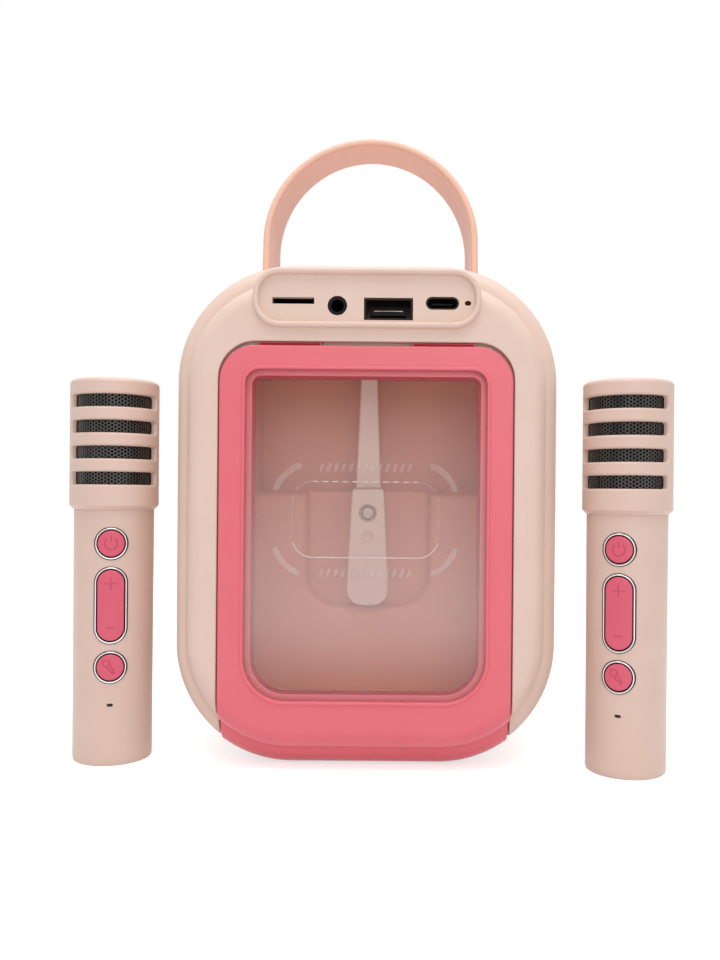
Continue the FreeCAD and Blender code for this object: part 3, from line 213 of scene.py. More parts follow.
def plug_shell(name, node, radius):
    """The folded steel shell of a plug socket, open at its mouth, with a rounded lip."""
    low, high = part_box(node)
    width = high.x - low.x
    height = high.z - low.z
    length = high.y - low.y
    wall = 0.0003
    lip = 0.0001
    shape = bmesh.new()
    loft(shape, [
        socket_ring(node, width, height, radius, length),
        socket_ring(node, width, height, radius, lip),
        socket_ring(node, width - 2 * lip, height - 2 * lip, radius - lip, 0.0),
        socket_ring(node, width - 2 * wall, height - 2 * wall, radius - wall, 0.0),
        socket_ring(node, width - 2 * wall, height - 2 * wall, radius - wall, socket_floor),
    ], cap_first=True, cap_last=True)
    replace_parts(add_piece(name, shape, nickel_steel, "speaker"), node)


def plug_tongue(name, node, width, height, rise, depth):
    """The moulded tongue inside a plug socket, from the floor of the shell to near its mouth."""
    nose = 0.0002
    shape = bmesh.new()
    rings = [socket_ring(node, width, height, nose, socket_floor + floor_hold),
             socket_ring(node, width, height, nose, depth + nose),
             socket_ring(node, width - 2 * nose, height - 2 * nose, nose / 2, depth)]
    loft(shape, [[(x, y, z + rise) for x, y, z in ring] for ring in rings], cap_first=True, cap_last=True)
    add_piece(name, shape, black_nylon, "speaker")


def contact_strips(name, material, node, count, pitch, width, rise, depth):
    """Sprung strips that lie on a tongue, side by side, with a rounded end at the mouth."""
    half_thickness = 0.00015
    profile = [(socket_floor + floor_hold, 1.0), (depth + 0.0006, 1.0), (depth + 0.0002, 0.8), (depth, 0.4)]
    low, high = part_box(node)
    middle = (low + high) / 2
    shape = bmesh.new()
    for k in range(count):
        across = middle.x + (k - (count - 1) / 2) * pitch
        rings = []
        for back, share in profile:
            rings.append([(across + side * width / 2 * share, low.y + back,
                           middle.z + rise + up * half_thickness * share)
                          for side, up in ((-1, -1), (1, -1), (1, 1), (-1, 1))])
        loft(shape, rings, cap_first=True, cap_last=True)
    add_piece(name, shape, material, "speaker")


# Black nickelled steel: a dark shine, only bright at its lip. Black glass-filled nylon: slightly rough.
# Gilt bronze: warm, and dull from the flux of the soldering.
nickel_steel = rolled_metal(
    "steel_black_nickelled", "#3A322D", "#2B2522", roughness=0.34, streak_width=0.0002, streak_length=0.003)
black_nylon = moulded_plastic(
    "nylon_black_glass_filled", "#0E0E0F", "#161617",
    roughness=0.55, grain=0.0003, height=0.00003, shine=0.12)
gilt_bronze = rolled_metal(
    "bronze_gilt_dull", "#4A3B24", "#3A2E1C", roughness=0.4, streak_width=0.0002, streak_length=0.002)
plug_shell("usb_a_shell", "usb_a_socket", radius=0.0005)
plug_tongue("usb_a_tongue", "usb_a_socket", width=0.0106, height=0.0017, rise=-0.0009, depth=0.0016)
contact_strips("usb_a_contacts", gilt_bronze, "usb_a_socket",
               count=4, pitch=0.0024, width=0.0011, rise=-0.0001, depth=0.0028)
contact_strips("usb_a_shield", zinc_steel, "usb_a_socket",
               count=1, pitch=0.0, width=0.0102, rise=-0.0003, depth=0.0014)
plug_shell("usb_c_shell", "usb_c_socket", radius=0.0016)
plug_tongue("usb_c_tongue", "usb_c_socket", width=0.0066, height=0.0008, rise=0.0, depth=0.0016)
contact_strips("usb_c_contacts", gilt_bronze, "usb_c_socket",
               count=10, pitch=0.0005, width=0.00025, rise=-0.00042, depth=0.0022)
dress(black_nylon, "card_socket", "audio_jack")
# Smoked acrylic light pipe: nearly black while the light is off, with a polished end.
pipe_acrylic = moulded_plastic(
    "acrylic_light_pipe_smoked", "#3A120D", "#2E0D09",
    roughness=0.3, grain=0.0004, height=0.00001, shine=0.05)
dress(pipe_acrylic, "charge_light_pipe")


# Insides: circuit boards, battery pack and loudspeaker, which only show through the grille or the door's gap.
# Boards are glass fibre with green lacquer, the cells lie in shrink film, the loudspeaker has a black frame.
board_lacquer, board_tree = new_material("glass_fibre_board_green_lacquer")
board_place = put(board_tree, "ShaderNodeTexCoord").outputs["Object"]
track_pitch = 0.0016
tracks = put(board_tree, "ShaderNodeTexBrick", {
    "Vector": board_place, "Scale": 1 / track_pitch, "Color1": linear("#1F6B45"), "Color2": linear("#24784D"),
    "Mortar": linear("#3C9468"), "Mortar Size": 0.06})
lacquer_skin = put(board_tree, "ShaderNodeBsdfPrincipled", {
    "Base Color": tracks.outputs["Color"], "Roughness": 0.35, "IOR": 1.5})
put(board_tree, "ShaderNodeOutputMaterial", {"Surface": lacquer_skin.outputs["BSDF"]})
dress(board_lacquer, "main_board", "socket_board", "control_board")
# Shrink film on the cells: smooth and glossy, slightly wrinkled at the ends.
shrink_film = moulded_plastic(
    "pvc_shrink_film_blue", "#2F6FA8", "#2A6498", roughness=0.25, grain=0.0015, height=0.00006)
dress(shrink_film, "battery_pack")
# Black dip paint on pressed steel, sintered ferrite, and black pulp for the cone.
dip_paint = moulded_plastic(
    "steel_black_dip_painted", "#1B1B1D", "#242427", roughness=0.4, grain=0.0008, height=0.00003)
dress(dip_paint, "speaker_basket")
sintered_ferrite = moulded_plastic(
    "ferrite_sintered_grey", "#3A393A", "#464445", roughness=0.65, grain=0.0005, height=0.00004)
dress(sintered_ferrite, "speaker_magnet")
cone_pulp = moulded_plastic(
    "paper_pulp_black_pressed", "#202022", "#2B2A2C", roughness=0.75, grain=0.0007, height=0.00008)
dress(cone_pulp, "speaker_cone")


# Grille: a punched steel sheet, sprayed, in front of the loudspeaker, held by a pink trim ring.
# The ring is moulded ABS like the door, and snaps into the front shell.
# Pink ABS, satin: an even colour with a soft highlight. Peach spray on steel: matt, with a fine orange peel.
pink_abs = moulded_plastic(
    "abs_pink_satin", "#EC6F7B", "#E66773", roughness=0.32, grain=0.0006, height=0.00002)
dress(pink_abs, "grille_ring")
grille_paint = moulded_plastic(
    "steel_peach_sprayed", "#E2C6B8", "#D8BAAB", roughness=0.5, grain=0.0004, height=0.00003)
dress(grille_paint, "front_grille")


# Controls on the top: a pink panel with five round keys, each with a plain raised mark for what it does.
# Keys are moulded ABS and stand on switches of the control board; the marks are pad printed in white.
def ridge(shape, path, width, height, place, closed=False):
    """A rounded ridge along a path of (across, up) points, which place() sets on the piece's surface."""
    sides = 6
    count = len(path)
    points = [Vector(point) for point in path]
    loops = []
    for k, point in enumerate(points):
        before = points[k - 1] if closed or k else point
        after = points[(k + 1) % count] if closed or k < count - 1 else point
        along = (after - before).normalized()
        reach = 1.0
        if not closed:
            travelled = min((point - points[0]).length, (point - points[-1]).length)
            reach = math.sqrt(max(0.0, 1 - max(0.0, 1 - 2 * travelled / width) ** 2)) * 0.96 + 0.04
        loops.append([])
        for side in range(sides + 1):
            turn = math.pi * side / sides
            across = point + Vector((-along.y, along.x)) * math.cos(turn) * width / 2 * reach
            loops[-1].append(shape.verts.new(place(across.x, across.y, math.sin(turn) * height * reach)))
    for k in range(count if closed else count - 1):
        lower = loops[k]
        upper = loops[(k + 1) % count]
        for side in range(sides):
            shape.faces.new((lower[side], lower[side + 1], upper[side + 1], upper[side]))
        shape.faces.new((lower[sides], lower[0], upper[0], upper[sides]))
    if not closed:
        shape.faces.new(loops[0])
        shape.faces.new(loops[-1])


def straight(start, end, steps=12):
    """Points along a line, closer together near its ends so that a ridge can round off there."""
    points = []
    for step in range(steps + 1):
        share = (1 - math.cos(math.pi * step / steps)) / 2
        points.append((start[0] + (end[0] - start[0]) * share, start[1] + (end[1] - start[1]) * share))
    return points


def bend(middle, radius, first, last, steps=24):
    """Points along an arc, from one angle to another in degrees, closer together near its ends."""
    points = []
    for step in range(steps + 1):
        share = (1 - math.cos(math.pi * step / steps)) / 2
        turn = math.radians(first + (last - first) * share)
        points.append((middle[0] + radius * math.cos(turn), middle[1] + radius * math.sin(turn)))
    return points


def moved(strokes, across, up, size):
    """Strokes of a mark, drawn about zero in a size of one, set at a place and in a size."""
    return [[(across + x * size, up + z * size) for x, z in stroke] for stroke in strokes]


power_mark = [bend((0, 0), 0.42, 125, 415), straight((0, 0.08), (0, 0.55))]
play_mark = [straight((-0.28, 0.36), (0.36, 0)), straight((0.36, 0), (-0.28, -0.36)),
             straight((-0.28, -0.36), (-0.28, 0.36))]
next_mark = [straight((-0.3, 0.32), (0.24, 0)), straight((0.24, 0), (-0.3, -0.32)),
             straight((-0.3, -0.32), (-0.3, 0.32)), straight((0.38, 0.34), (0.38, -0.34))]
previous_mark = [[(-x, z) for x, z in stroke] for stroke in next_mark]
voice_mark = [straight((0.17, 0.16), (0.17, 0.3))[:-1] + bend((0, 0.3), 0.17, 0, 180)
              + straight((-0.17, 0.3), (-0.17, 0.16))[1:],
              straight((-0.17, 0.22), (-0.17, 0.08))[:-1] + bend((0, 0.08), 0.17, 180, 360)
              + straight((0.17, 0.08), (0.17, 0.22))[1:],
              bend((0, 0.08), 0.36, 190, 350), straight((0, -0.28), (0, -0.52)),
              straight((-0.2, -0.52), (0.2, -0.52))]
# Deep pink ABS, satin, for keys, and white pad printing ink, which is matt.
key_abs = moulded_plastic(
    "abs_deep_pink_satin", "#E25C74", "#DA536C", roughness=0.34, grain=0.0005, height=0.00002)
white_ink = moulded_plastic(
    "ink_white_pad_printed", "#F4EDEA", "#E9E0DC", roughness=0.5, grain=0.0003, height=0.00001)
dress(pink_abs, "control_panel")
ink_mark_size = 0.0030
ink_width = 0.00036
ink_height = 0.00008
ink_overlap = 0.00002
for key_name, mark in (("power", power_mark), ("previous", previous_mark), ("play", play_mark),
                       ("next", next_mark), ("voice", voice_mark)):
    key_node = "button_" + key_name
    dress(key_abs, key_node)
    key_low, key_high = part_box(key_node)
    key_middle = (key_low + key_high) / 2
    key_ink = bmesh.new()
    for stroke in moved(mark, 0.0, 0.0, ink_mark_size):
        ridge(key_ink, stroke, ink_width, ink_height,
              lambda x, y, h: (key_middle.x + x, key_middle.y + y, key_high.z + h - ink_overlap))
    add_piece("key_mark_" + key_name, key_ink, white_ink, "control_" + key_name)


# Door: a pink frame that swings up on a steel pin, with a clear pane welded into it over the storage bay.
# The frame is moulded ABS, the pane clear polystyrene with shallow moulded ornaments on its face.
dress(pink_abs, "door_frame")
dress(zinc_steel, "hinge_pin")

# Painted shade: two dark red strips along the front of the hinge tabs, in the gap above the door,
# standing for the shade the tabs lie in. Dull: nearly no shine.
tab_shade_paint = moulded_plastic(
    "painted_shade_tab_strips_dark_red", "#A3242E", "#931C26", roughness=0.7, grain=0.0006, height=0.00002, shine=0.2)
pin_low, pin_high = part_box("hinge_pin")
pin_middle = (pin_low + pin_high) / 2
pad_across = 0.022
pad_lift = 0.0014
pad_corner = 0.0002
# Width, height and depth in front of the pin, from the back of a strip to its face.
pad_profile = [(0.0174, 0.0013, 0.0008), (0.0174, 0.0013, 0.0010), (0.0172, 0.0011, 0.00105)]
tab_shade_strips = bmesh.new()
for side in (-1, 1):
    pad_rings = []
    for width, height, depth in pad_profile:
        pad_rings.append([(side * pad_across + x, pin_middle.y - depth, pin_middle.z + pad_lift + z)
                          for x, z in rounded_rectangle(width, height, pad_corner)])
    loft(tab_shade_strips, pad_rings, cap_first=True, cap_last=True)
add_piece("door_tab_painted_shade_strips", tab_shade_strips, tab_shade_paint, "door")

# Clear polystyrene, polished tool: mirror-like, under a pale pink veil of painted reflection, strongest low
# on the pane.
pane_polystyrene, pane_tree = new_material("polystyrene_clear_painted_reflection_veil")
pane_place = put(pane_tree, "ShaderNodeTexCoord").outputs["Object"]
pane_flow_width = 0.03
pane_flow = put(pane_tree, "ShaderNodeTexNoise", {
    "Vector": pane_place, "Scale": 1 / pane_flow_width, "Detail": 2.0})
pane_tone = put(pane_tree, "ShaderNodeMix", {
    0: pane_flow.outputs["Fac"], 6: linear("#E8D3D3"), 7: linear("#DEC6C6")}, data_type="RGBA")
pane_ripple = put(pane_tree, "ShaderNodeBump", {"Height": pane_flow.outputs["Fac"], "Distance": 0.0004,
                                                "Strength": 0.15})
pane_low, pane_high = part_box("door_window")
pane_middle = (pane_low + pane_high) / 2
pane_rise = put(pane_tree, "ShaderNodeSeparateXYZ", {"Vector": pane_place}).outputs["Z"]
# Painted reflection: the veil's alpha rises from the pane's lower edge to a peak 28 mm up, then fades towards
# its top.
veil_level = pane_low.z + 0.028
veil_foot = 0.08
veil_peak = 0.24
veil_head = 0.03
veil_below = put(pane_tree, "ShaderNodeMapRange", {
    "Value": pane_rise, "From Min": pane_low.z, "From Max": veil_level,
    "To Min": veil_foot, "To Max": veil_peak}, interpolation_type="SMOOTHSTEP")
veil_above = put(pane_tree, "ShaderNodeMapRange", {
    "Value": pane_rise, "From Min": veil_level, "From Max": pane_high.z,
    "To Min": veil_peak, "To Max": veil_head}, interpolation_type="SMOOTHSTEP")
pane_painted_reflection = put(pane_tree, "ShaderNodeMath", {
    0: veil_below.outputs["Result"], 1: veil_above.outputs["Result"]}, operation="MINIMUM")
pane_skin = put(pane_tree, "ShaderNodeBsdfPrincipled", {
    "Base Color": pane_tone.outputs[2], "Roughness": 0.08, "IOR": 1.59, "Alpha": pane_painted_reflection.outputs["Value"],
    "Normal": pane_ripple.outputs["Normal"]})
put(pane_tree, "ShaderNodeOutputMaterial", {"Surface": pane_skin.outputs["BSDF"]})
dress(pane_polystyrene, "door_window")

# Ledge and rib: the frame's ledge behind the pane's edge, which the pane is welded to, and a rib inside it.
# The ledge shows through the pane, a little lighter than the frame as painted light against its shade;
# the rib is coloured dark red as painted shade of the bay.
ledge_painted_light_abs = moulded_plastic(
    "abs_pink_weld_ledge_painted_light", "#F07680", "#EA6D78", roughness=0.4, grain=0.0006, height=0.00002)
rib_painted_shade_abs = moulded_plastic(
    "abs_pink_weld_rib_painted_shade", "#B01E2C", "#A01724", roughness=0.5, grain=0.0006, height=0.00002, shine=0.2)
pane_lap = 0.00195
pane_top_corner = 0.0042
pane_bottom_corner = 0.012
ledge_gap = 0.00005
ledge_outer = -0.0003
ledge_inner = 0.0016
ledge_depth = 0.0005
rib_inner = 0.0025
rib_depth = 0.0012
opening_width = pane_high.x - pane_low.x - 2 * pane_lap
opening_height = pane_high.z - pane_low.z - 2 * pane_lap


def pane_outline(inset, depth):
    """Points round the window opening, drawn in from its edge, with larger corners at the bottom."""
    steps = 10
    width = opening_width / 2 - inset
    height = opening_height / 2 - inset
    points = []
    for quarter, (side, up) in enumerate([(1, 1), (-1, 1), (-1, -1), (1, -1)]):
        radius = (pane_top_corner if up > 0 else pane_bottom_corner) - inset
        for step in range(steps + 1):
            turn = math.pi / 2 * (quarter + step / steps)
            points.append((pane_middle.x + side * (width - radius) + radius * math.cos(turn), depth,
                           pane_middle.z + up * (height - radius) + radius * math.sin(turn)))
    return points


for name, material, outer, inner, depth in (
        ("door_weld_ledge", ledge_painted_light_abs, ledge_outer, ledge_inner, ledge_depth),
        ("door_weld_rib", rib_painted_shade_abs, ledge_inner, rib_inner, rib_depth)):
    band = bmesh.new()
    near = pane_high.y + ledge_gap
    band_rings = [pane_outline(outer, near), pane_outline(outer, near + depth),
                  pane_outline(inner, near + depth), pane_outline(inner, near)]
    loft(band, band_rings + band_rings[:1])
    add_piece(name, band, material, "door")

# Ornaments on the pane: a rounded frame line, two rows of slanted beads, four bent beads and two gate spots.
# They are moulded with the pane; their edges catch the light, and the frame line's brightness is painted
# highlight.
frame_half_width = 0.0210
frame_top = pane_middle.z + 0.0154
frame_bottom = pane_middle.z - 0.0063
frame_radius = 0.0060
corner_x = frame_half_width - frame_radius
ornament_overlap = 0.00002


def on_pane(x, z, rise):
    """A point on the face of the pane, raised towards the eye."""
    return (x, pane_low.y - rise + ornament_overlap, z)


# Painted highlight: the frame line is near white and more opaque than the pane, broken into glints along it.
painted_highlight_edge, edge_tree = new_material("polystyrene_painted_highlight_edge")
glint_length = 0.0015
edge_place = put(edge_tree, "ShaderNodeTexCoord").outputs["Object"]
edge_grit = put(edge_tree, "ShaderNodeTexNoise", {
    "Vector": edge_place, "Scale": 1 / glint_length, "Detail": 2.0})
edge_tone = put(edge_tree, "ShaderNodeMix", {
    0: edge_grit.outputs["Fac"], 6: linear("#F7E9E4"), 7: linear("#EBD9D3")}, data_type="RGBA")
edge_clear = put(edge_tree, "ShaderNodeMapRange", {
    "Value": edge_grit.outputs["Fac"], "To Min": 0.25, "To Max": 0.85})
edge_skin = put(edge_tree, "ShaderNodeBsdfPrincipled", {
    "Base Color": edge_tone.outputs[2], "Roughness": 0.15, "IOR": 1.59,
    "Alpha": edge_clear.outputs["Result"]})
put(edge_tree, "ShaderNodeOutputMaterial", {"Surface": edge_skin.outputs["BSDF"]})

line_width = 0.00036
line_height = 0.0002
dash_count = 9
dash_pitch = 0.0029
dash_half = 0.0009
last_dash_start = 0.0135
line_shape = bmesh.new()
for k in range(dash_count):
    dash_x = (k - (dash_count - 1) / 2) * dash_pitch
    ridge(line_shape, straight((dash_x - dash_half, frame_top), (dash_x + dash_half, frame_top)),
          line_width, line_height, on_pane)
for side in (-1, 1):
    ridge(line_shape, straight((side * last_dash_start, frame_top), (side * corner_x, frame_top)),
          line_width, line_height, on_pane)
under = bend((-corner_x, frame_bottom + frame_radius), frame_radius, 196, 270)
under += straight((-corner_x, frame_bottom), (corner_x, frame_bottom))[1:-1]
under += bend((corner_x, frame_bottom + frame_radius), frame_radius, 270, 344)
ridge(line_shape, under, line_width, line_height, on_pane)
add_piece("pane_line_painted_highlight", line_shape, painted_highlight_edge, "door")

faint_width = 0.0003
faint_height = 0.00012
bent_radius = 0.0113
bent_width = 0.0018
bent_height = 0.00025
bead_rows = (frame_top + 0.0041, frame_bottom - 0.0044)
bead_count = 13
bead_pitch = 0.0021
bead_lean = 0.00045
bead_half_height = 0.00125
bead_width = 0.0010
bead_height = 0.0002
gate_inset = 0.0034
gate_radius = 0.0007
gate_width = 0.0004
gate_height = 0.00015
gate_steps = 24
bead_shape = bmesh.new()
for side in (-1, 1):
    turned = 180 if side < 0 else 0
    upper = bend((side * corner_x, frame_top - frame_radius), frame_radius, 90, turned)
    upper += straight((side * frame_half_width, frame_top - frame_radius),
                      (side * frame_half_width, frame_bottom + frame_radius))[1:]
    ridge(bead_shape, upper, faint_width, faint_height, on_pane)
    for up, level in ((1, frame_top - frame_radius), (-1, frame_bottom + frame_radius)):
        first = 90 - side * 17 if up > 0 else 270 + side * 19
        last = (17 if side > 0 else 163) if up > 0 else (344 if side > 0 else 196)
        ridge(bead_shape, bend((side * corner_x, level), bent_radius, first, last),
              bent_width, bent_height, on_pane)
for row in bead_rows:
    for k in range(bead_count):
        bead_x = (k - (bead_count - 1) / 2) * bead_pitch
        ridge(bead_shape, straight((bead_x - bead_lean, row - bead_half_height),
                                   (bead_x + bead_lean, row + bead_half_height)),
              bead_width, bead_height, on_pane)
for gate in (pane_low.z + pane_lap + gate_inset, pane_high.z - pane_lap - gate_inset):
    gate_turns = [2 * math.pi * k / gate_steps for k in range(gate_steps)]
    spot = [(gate_radius * math.cos(turn), gate + gate_radius * math.sin(turn)) for turn in gate_turns]
    ridge(bead_shape, spot, gate_width, gate_height, on_pane, closed=True)
add_piece("pane_beads", bead_shape, pane_polystyrene, "door")


# Side screws and feet: six countersunk screws clamp the shells, and four moulded pads stand under the body.
# The screws are blackened steel; the pads are soft grey rubber, glued into shallow seats.
black_steel = rolled_metal(
    "steel_black_oxide", "#4A4542", "#3B3735", roughness=0.38, streak_width=0.0003, streak_length=0.001)
dress(black_steel, "side_screws")
foot_rubber = moulded_plastic(
    "rubber_grey_moulded", "#6E6662", "#625B57", roughness=0.8, grain=0.0005, height=0.00005)
dress(foot_rubber, "rubber_feet")


# Microphones: two wireless hand microphones that stand beside the speaker, each a tapered peach tube.
# A slotted head screws over a punched steel basket with foam behind it; the base is a pressed-in cap.
# Each microphone is turned about its own axis. Peach ABS, satin: a little smoother than the shells.
mic_turns = {"left": math.radians(13), "right": math.radians(-25)}
mic_abs = moulded_plastic(
    "abs_peach_satin", "#E6C9BC", "#DDBDAE", roughness=0.42, grain=0.0004, height=0.00003)
for side in mic_turns:
    dress(mic_abs, "mic_%s_casing" % side, "mic_%s_head" % side, "mic_%s_base_cap" % side)
    dress(black_nylon, "mic_%s_capsule" % side)
    dress(board_lacquer, "mic_%s_board" % side)
    dress(shrink_film, "mic_%s_cell" % side)

# Basket: steel sheet punched with 0.7 mm holes on a 1.1 mm pitch, rolled into a tube and black nickelled.
# It is dark, with paler bands along the tube that are painted reflections.
basket_steel_painted_bands = rolled_metal(
    "steel_black_nickelled_punched_painted_reflections", "#62605E", "#1E1D1D",
    roughness=0.26, streak_width=0.0045, streak_length=0.04)
basket_low, basket_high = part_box("mic_left_mesh")
basket_radius = (basket_high.x - basket_low.x) / 2
basket_bottom = basket_low.z
basket_top = basket_high.z
hole_pitch = 0.0011
hole_radius = 0.00035
sheet_thickness = 0.0004
columns = 2 * round(2 * math.pi * basket_radius / (hole_pitch * math.sqrt(3) / 2) / 2)
rows = int((basket_top - basket_bottom) / hole_pitch) - 1


def on_mic(side, radius):
    """A function that wraps (round, up) points about a microphone's axis, at a radius for each height."""
    low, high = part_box("mic_%s_head" % side)
    axis = (low + high) / 2

    def wrap(across, up, rise):
        reach = radius(up)
        angle = mic_turns[side] + across / reach
        return (axis.x + (reach + rise) * math.sin(angle), axis.y - (reach + rise) * math.cos(angle), up)

    return wrap


for side in mic_turns:
    wrap = on_mic(side, lambda up: basket_radius)
    sheet = bmesh.new()
    column_pitch = 2 * math.pi * basket_radius / columns
    for column in range(columns):
        for row in range(rows):
            # Each hole lies in a six-sided cell, and the cells join at their rims.
            across = column * column_pitch
            up = basket_bottom + hole_pitch * (1 + row + (0.5 if column % 2 else 0.0))
            rim = [(column_pitch * 2 / 3, 0.0), (column_pitch / 2, hole_pitch / 4),
                   (column_pitch / 3, hole_pitch / 2), (0.0, hole_pitch / 2)]
            rim += [(-x, z) for x, z in reversed(rim[:3])]
            rim += [(x, -z) for x, z in reversed(rim[1:6])]
            outer = []
            inner = []
            for x, z in rim:
                aim = math.atan2(z, x)
                outer.append(sheet.verts.new(wrap(across + x, up + z, 0.0)))
                inner.append(sheet.verts.new(wrap(across + hole_radius * math.cos(aim),
                                                  up + hole_radius * math.sin(aim), 0.0)))
            for k in range(len(rim)):
                after = (k + 1) % len(rim)
                sheet.faces.new((outer[k], outer[after], inner[after], inner[k]))
    bmesh.ops.remove_doubles(sheet, verts=sheet.verts, dist=0.00001)
    basket = add_piece("mic_%s_basket" % side, sheet, basket_steel_painted_bands, "mic_" + side)
    rolled = basket.modifiers.new("sheet_thickness", "SOLIDIFY")
    rolled.thickness = sheet_thickness
    rolled.offset = -1.0
    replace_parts(basket, "mic_%s_mesh" % side)

# Foam: a black open-cell liner inside the basket, moulded with a closed top.
# It takes all light, so the holes of the basket look black.
foam_pu = moulded_plastic(
    "polyurethane_foam_black", "#1A1A1B", "#2A2A2B", roughness=0.95, grain=0.0008, height=0.0003)
foam_radius = basket_radius - sheet_thickness - 0.0003
foam_wall = 0.0025
foam_turns = 64
foam_profile = [(foam_radius - foam_wall, basket_bottom + 0.0002),
                (foam_radius - 0.0007, basket_bottom + 0.0002),
                (foam_radius, basket_bottom + 0.0009), (foam_radius, basket_top - 0.0024),
                (foam_radius - 0.0007, basket_top - 0.0011), (foam_radius * 0.5, basket_top - 0.0007),
                (foam_radius * 0.1, basket_top - 0.0006), (foam_radius * 0.1, basket_top - 0.0022),
                (foam_radius - foam_wall - 0.0005, basket_top - 0.0030),
                (foam_radius - foam_wall, basket_top - 0.0040)]
for side in mic_turns:
    round_axis = on_mic(side, lambda up: 1.0)
    foam = bmesh.new()
    foam_rings = [[round_axis(2 * math.pi * k / foam_turns, up, radius - 1.0) for k in range(foam_turns)]
                  for radius, up in foam_profile]
    loft(foam, foam_rings + foam_rings[:1])
    add_piece("mic_%s_foam" % side, foam, foam_pu, "mic_" + side)

# Keys of a microphone: power, a volume rocker and a voice key, in chrome plated rings, above a small light.
# Keys are moulded ABS with their marks embossed; the rings are chrome plated, with a plated crown,
# but their dark grey body is a painted dark reflection.
# Chrome plate is a clear mirror and the lens is nearly black; the marks are coloured a deeper pink than the
# keys, which is painted shade of the embossing.
bright_chrome = rolled_metal(
    "abs_chrome_plated", "#E2E0DE", "#CFCDCB", roughness=0.1, streak_width=0.002, streak_length=0.004)
ring_painted_reflection_abs = moulded_plastic(
    "abs_dark_grey_painted_reflection", "#3B3234", "#322A2C", roughness=0.35, grain=0.0005, height=0.00002, shine=0.3)
light_lens = moulded_plastic(
    "acrylic_smoked_lens", "#2C1512", "#220F0C", roughness=0.15, grain=0.0004, height=0.00001, shine=0.25)
emboss_painted_shade_abs = moulded_plastic(
    "abs_pink_embossed_painted_shade", "#C64860", "#BE4059", roughness=0.4, grain=0.0005, height=0.00002)
plus_mark = [straight((-0.5, 0), (0.5, 0)), straight((0, -0.5), (0, 0.5))]
minus_mark = [straight((-0.5, 0), (0.5, 0))]
sing_mark = [straight((0.33, -0.43), (-0.03, 0.23))[:-1] + bend((-0.26, 0.3), 0.24, -17, 273)
             + straight((-0.247, 0.06), (0.25, -0.49))[1:],
             straight((-0.24, 0.05), (-0.03, 0.22))]
key_rise = 0.0005
key_mark_width = 0.00045
key_mark_height = 0.0001
round_mark_size = 0.0042
plus_size = 0.0037
minus_size = 0.0026
sign_offset = 0.0064
ring_rise = 0.0003
crown_width = 0.00036
crown_height = 0.00008
crown_steps = 96
relief_overlap = 0.00002
tube_foot = 0.0012
tube_length = 0.0733
tube_foot_radius = 0.01155
tube_widening = 0.0001
round_ring = 0.0044
long_ring = 0.0109


def tube_radius(up):
    """Radius of a microphone's tube at a height, along its taper."""
    return tube_foot_radius + tube_widening * (up - tube_foot) / tube_length


for side in mic_turns:
    dress(ring_painted_reflection_abs, "mic_%s_button_rings" % side)
    dress(light_lens, "mic_%s_indicator" % side)
    dress(key_abs, "mic_%s_power_button" % side, "mic_%s_volume_rocker" % side, "mic_%s_effect_button" % side)
    key_heights = {}
    for key, node in (("power", "power_button"), ("volume", "volume_rocker"), ("effect", "effect_button")):
        key_low, key_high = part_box("mic_%s_%s" % (side, node))
        key_heights[key] = (key_low.z + key_high.z) / 2
    marks = {"power": moved(power_mark, 0.0, key_heights["power"], round_mark_size),
             "volume": moved(plus_mark, 0.0, key_heights["volume"] + sign_offset, plus_size)
             + moved(minus_mark, 0.0, key_heights["volume"] - sign_offset, minus_size),
             "effect": moved(sing_mark, 0.0, key_heights["effect"], round_mark_size)}
    for key, strokes in marks.items():
        emboss = bmesh.new()
        for stroke in strokes:
            ridge(emboss, stroke, key_mark_width, key_mark_height,
                  on_mic(side, lambda up: tube_radius(up) + key_rise - relief_overlap))
        add_piece("mic_%s_%s_mark" % (side, key), emboss, emboss_painted_shade_abs, "mic_%s_%s" % (side, key))
    crowns = bmesh.new()
    for key, height in key_heights.items():
        half = long_ring - round_ring if key == "volume" else 0.0
        track = []
        for step in range(crown_steps):
            turn = 2 * math.pi * (step + 0.5) / crown_steps
            track.append((round_ring * math.cos(turn), height + round_ring * math.sin(turn)
                          + (half if step < crown_steps // 2 else -half)))
        ridge(crowns, track, crown_width, crown_height,
              on_mic(side, lambda up: tube_radius(up) + ring_rise - relief_overlap), closed=True)
    add_piece("mic_%s_ring_crowns" % side, crowns, bright_chrome, "mic_" + side)


# Stage: a plain pale floor under the object, white to the eye, with the object's shadow on it.
# It isn't part of the object.
floor_mesh = bpy.data.meshes.new("stage_floor")
floor_half = 4.0
floor_mesh.from_pydata([(-floor_half, -floor_half, 0.0), (floor_half, -floor_half, 0.0),
                        (floor_half, floor_half, 0.0), (-floor_half, floor_half, 0.0)], [], [(0, 1, 2, 3)])
floor = bpy.data.objects.new("stage_floor", floor_mesh)
bpy.context.collection.objects.link(floor)
floor_paper, paper_tree = new_material("paper_white_matt")
seen = put(paper_tree, "ShaderNodeLightPath").outputs
seen_by_eye = put(paper_tree, "ShaderNodeMath", {0: seen["Is Camera Ray"], 1: seen["Is Glossy Ray"]},
                  operation="MAXIMUM").outputs["Value"]
seen_at_all = put(paper_tree, "ShaderNodeMath", {0: seen_by_eye, 1: seen["Is Transmission Ray"]},
                  operation="MAXIMUM").outputs["Value"]
# The glow that lifts the lit paper to white for the eye; a stronger one would wash out the shadow.
paper_glow = 0.62
paper_lift = put(paper_tree, "ShaderNodeMath", {0: seen_at_all, 1: paper_glow},
                 operation="MULTIPLY").outputs["Value"]
paper = put(paper_tree, "ShaderNodeBsdfPrincipled", {
    "Base Color": linear("#E6E6E6"), "Roughness": 0.9, "Emission Color": linear("#FFFFFF"),
    "Emission Strength": paper_lift})
put(paper_tree, "ShaderNodeOutputMaterial", {"Surface": paper.outputs["BSDF"]})
floor_mesh.materials.append(floor_paper)

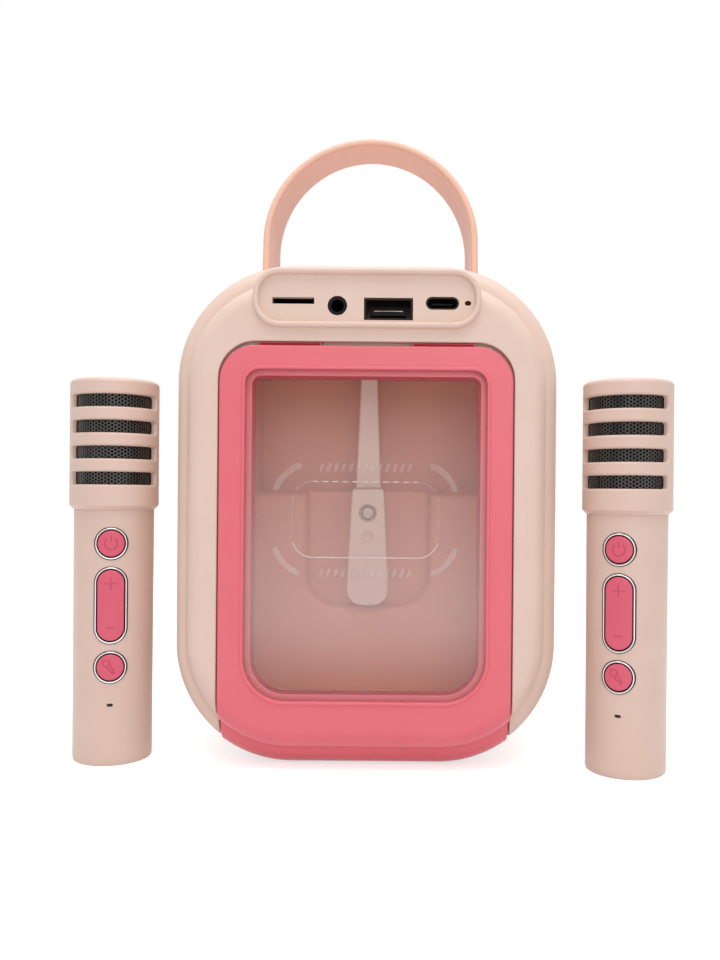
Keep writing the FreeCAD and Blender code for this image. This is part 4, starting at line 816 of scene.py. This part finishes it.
world = bpy.data.worlds.new("studio")
world.use_nodes = True
world.node_tree.nodes.clear()
sight = put(world.node_tree, "ShaderNodeLightPath").outputs
sight_by_eye = put(world.node_tree, "ShaderNodeMath", {0: sight["Is Camera Ray"], 1: sight["Is Glossy Ray"]},
                   operation="MAXIMUM").outputs["Value"]
sight_at_all = put(world.node_tree, "ShaderNodeMath", {0: sight_by_eye, 1: sight["Is Transmission Ray"]},
                   operation="MAXIMUM").outputs["Value"]
sky_light = put(world.node_tree, "ShaderNodeMapRange", {"Value": sight_at_all, "To Min": 0.5, "To Max": 1.0})
sky = put(world.node_tree, "ShaderNodeBackground", {"Color": linear("#FFFFFF"),
                                                    "Strength": sky_light.outputs["Result"]})
put(world.node_tree, "ShaderNodeOutputWorld", {"Surface": sky.outputs["Background"]})
bpy.context.scene.world = world


# Lamps and camera: a broad softbox overhead, a weaker one behind the camera, and the photograph's viewpoint.
# The lens stands close to the door, level with its middle and a little to the right of it.
def softbox(name, place, aim, side, power):
    """A square area lamp turned to a point."""
    lamp_data = bpy.data.lights.new(name, "AREA")
    lamp_data.size = side
    lamp_data.energy = power
    lamp = bpy.data.objects.new(name, lamp_data)
    lamp.location = place
    lamp.rotation_euler = (Vector(aim) - Vector(place)).to_track_quat("-Z", "Y").to_euler()
    bpy.context.collection.objects.link(lamp)


softbox("softbox_overhead", (0.0, -0.2, 0.95), (0.0, 0.0, 0.1), 0.8, 6.3)
softbox("softbox_front", (0.15, -1.1, 0.45), (0.0, 0.0, 0.08), 0.7, 2.0)

camera_data = bpy.data.cameras.new("camera")
camera_data.sensor_fit = "VERTICAL"
camera_data.sensor_height = 36.0
camera_data.lens = 33.75
camera_data.shift_x = -0.036
camera_data.shift_y = 0.0156
camera = bpy.data.objects.new("camera", camera_data)
camera.location = (0.0083, -0.29805, 0.0797)
camera.rotation_euler = (math.radians(90), math.radians(-0.5), 0.0)
bpy.context.collection.objects.link(camera)
bpy.context.scene.camera = camera
bpy.context.scene.view_settings.view_transform = "Standard"
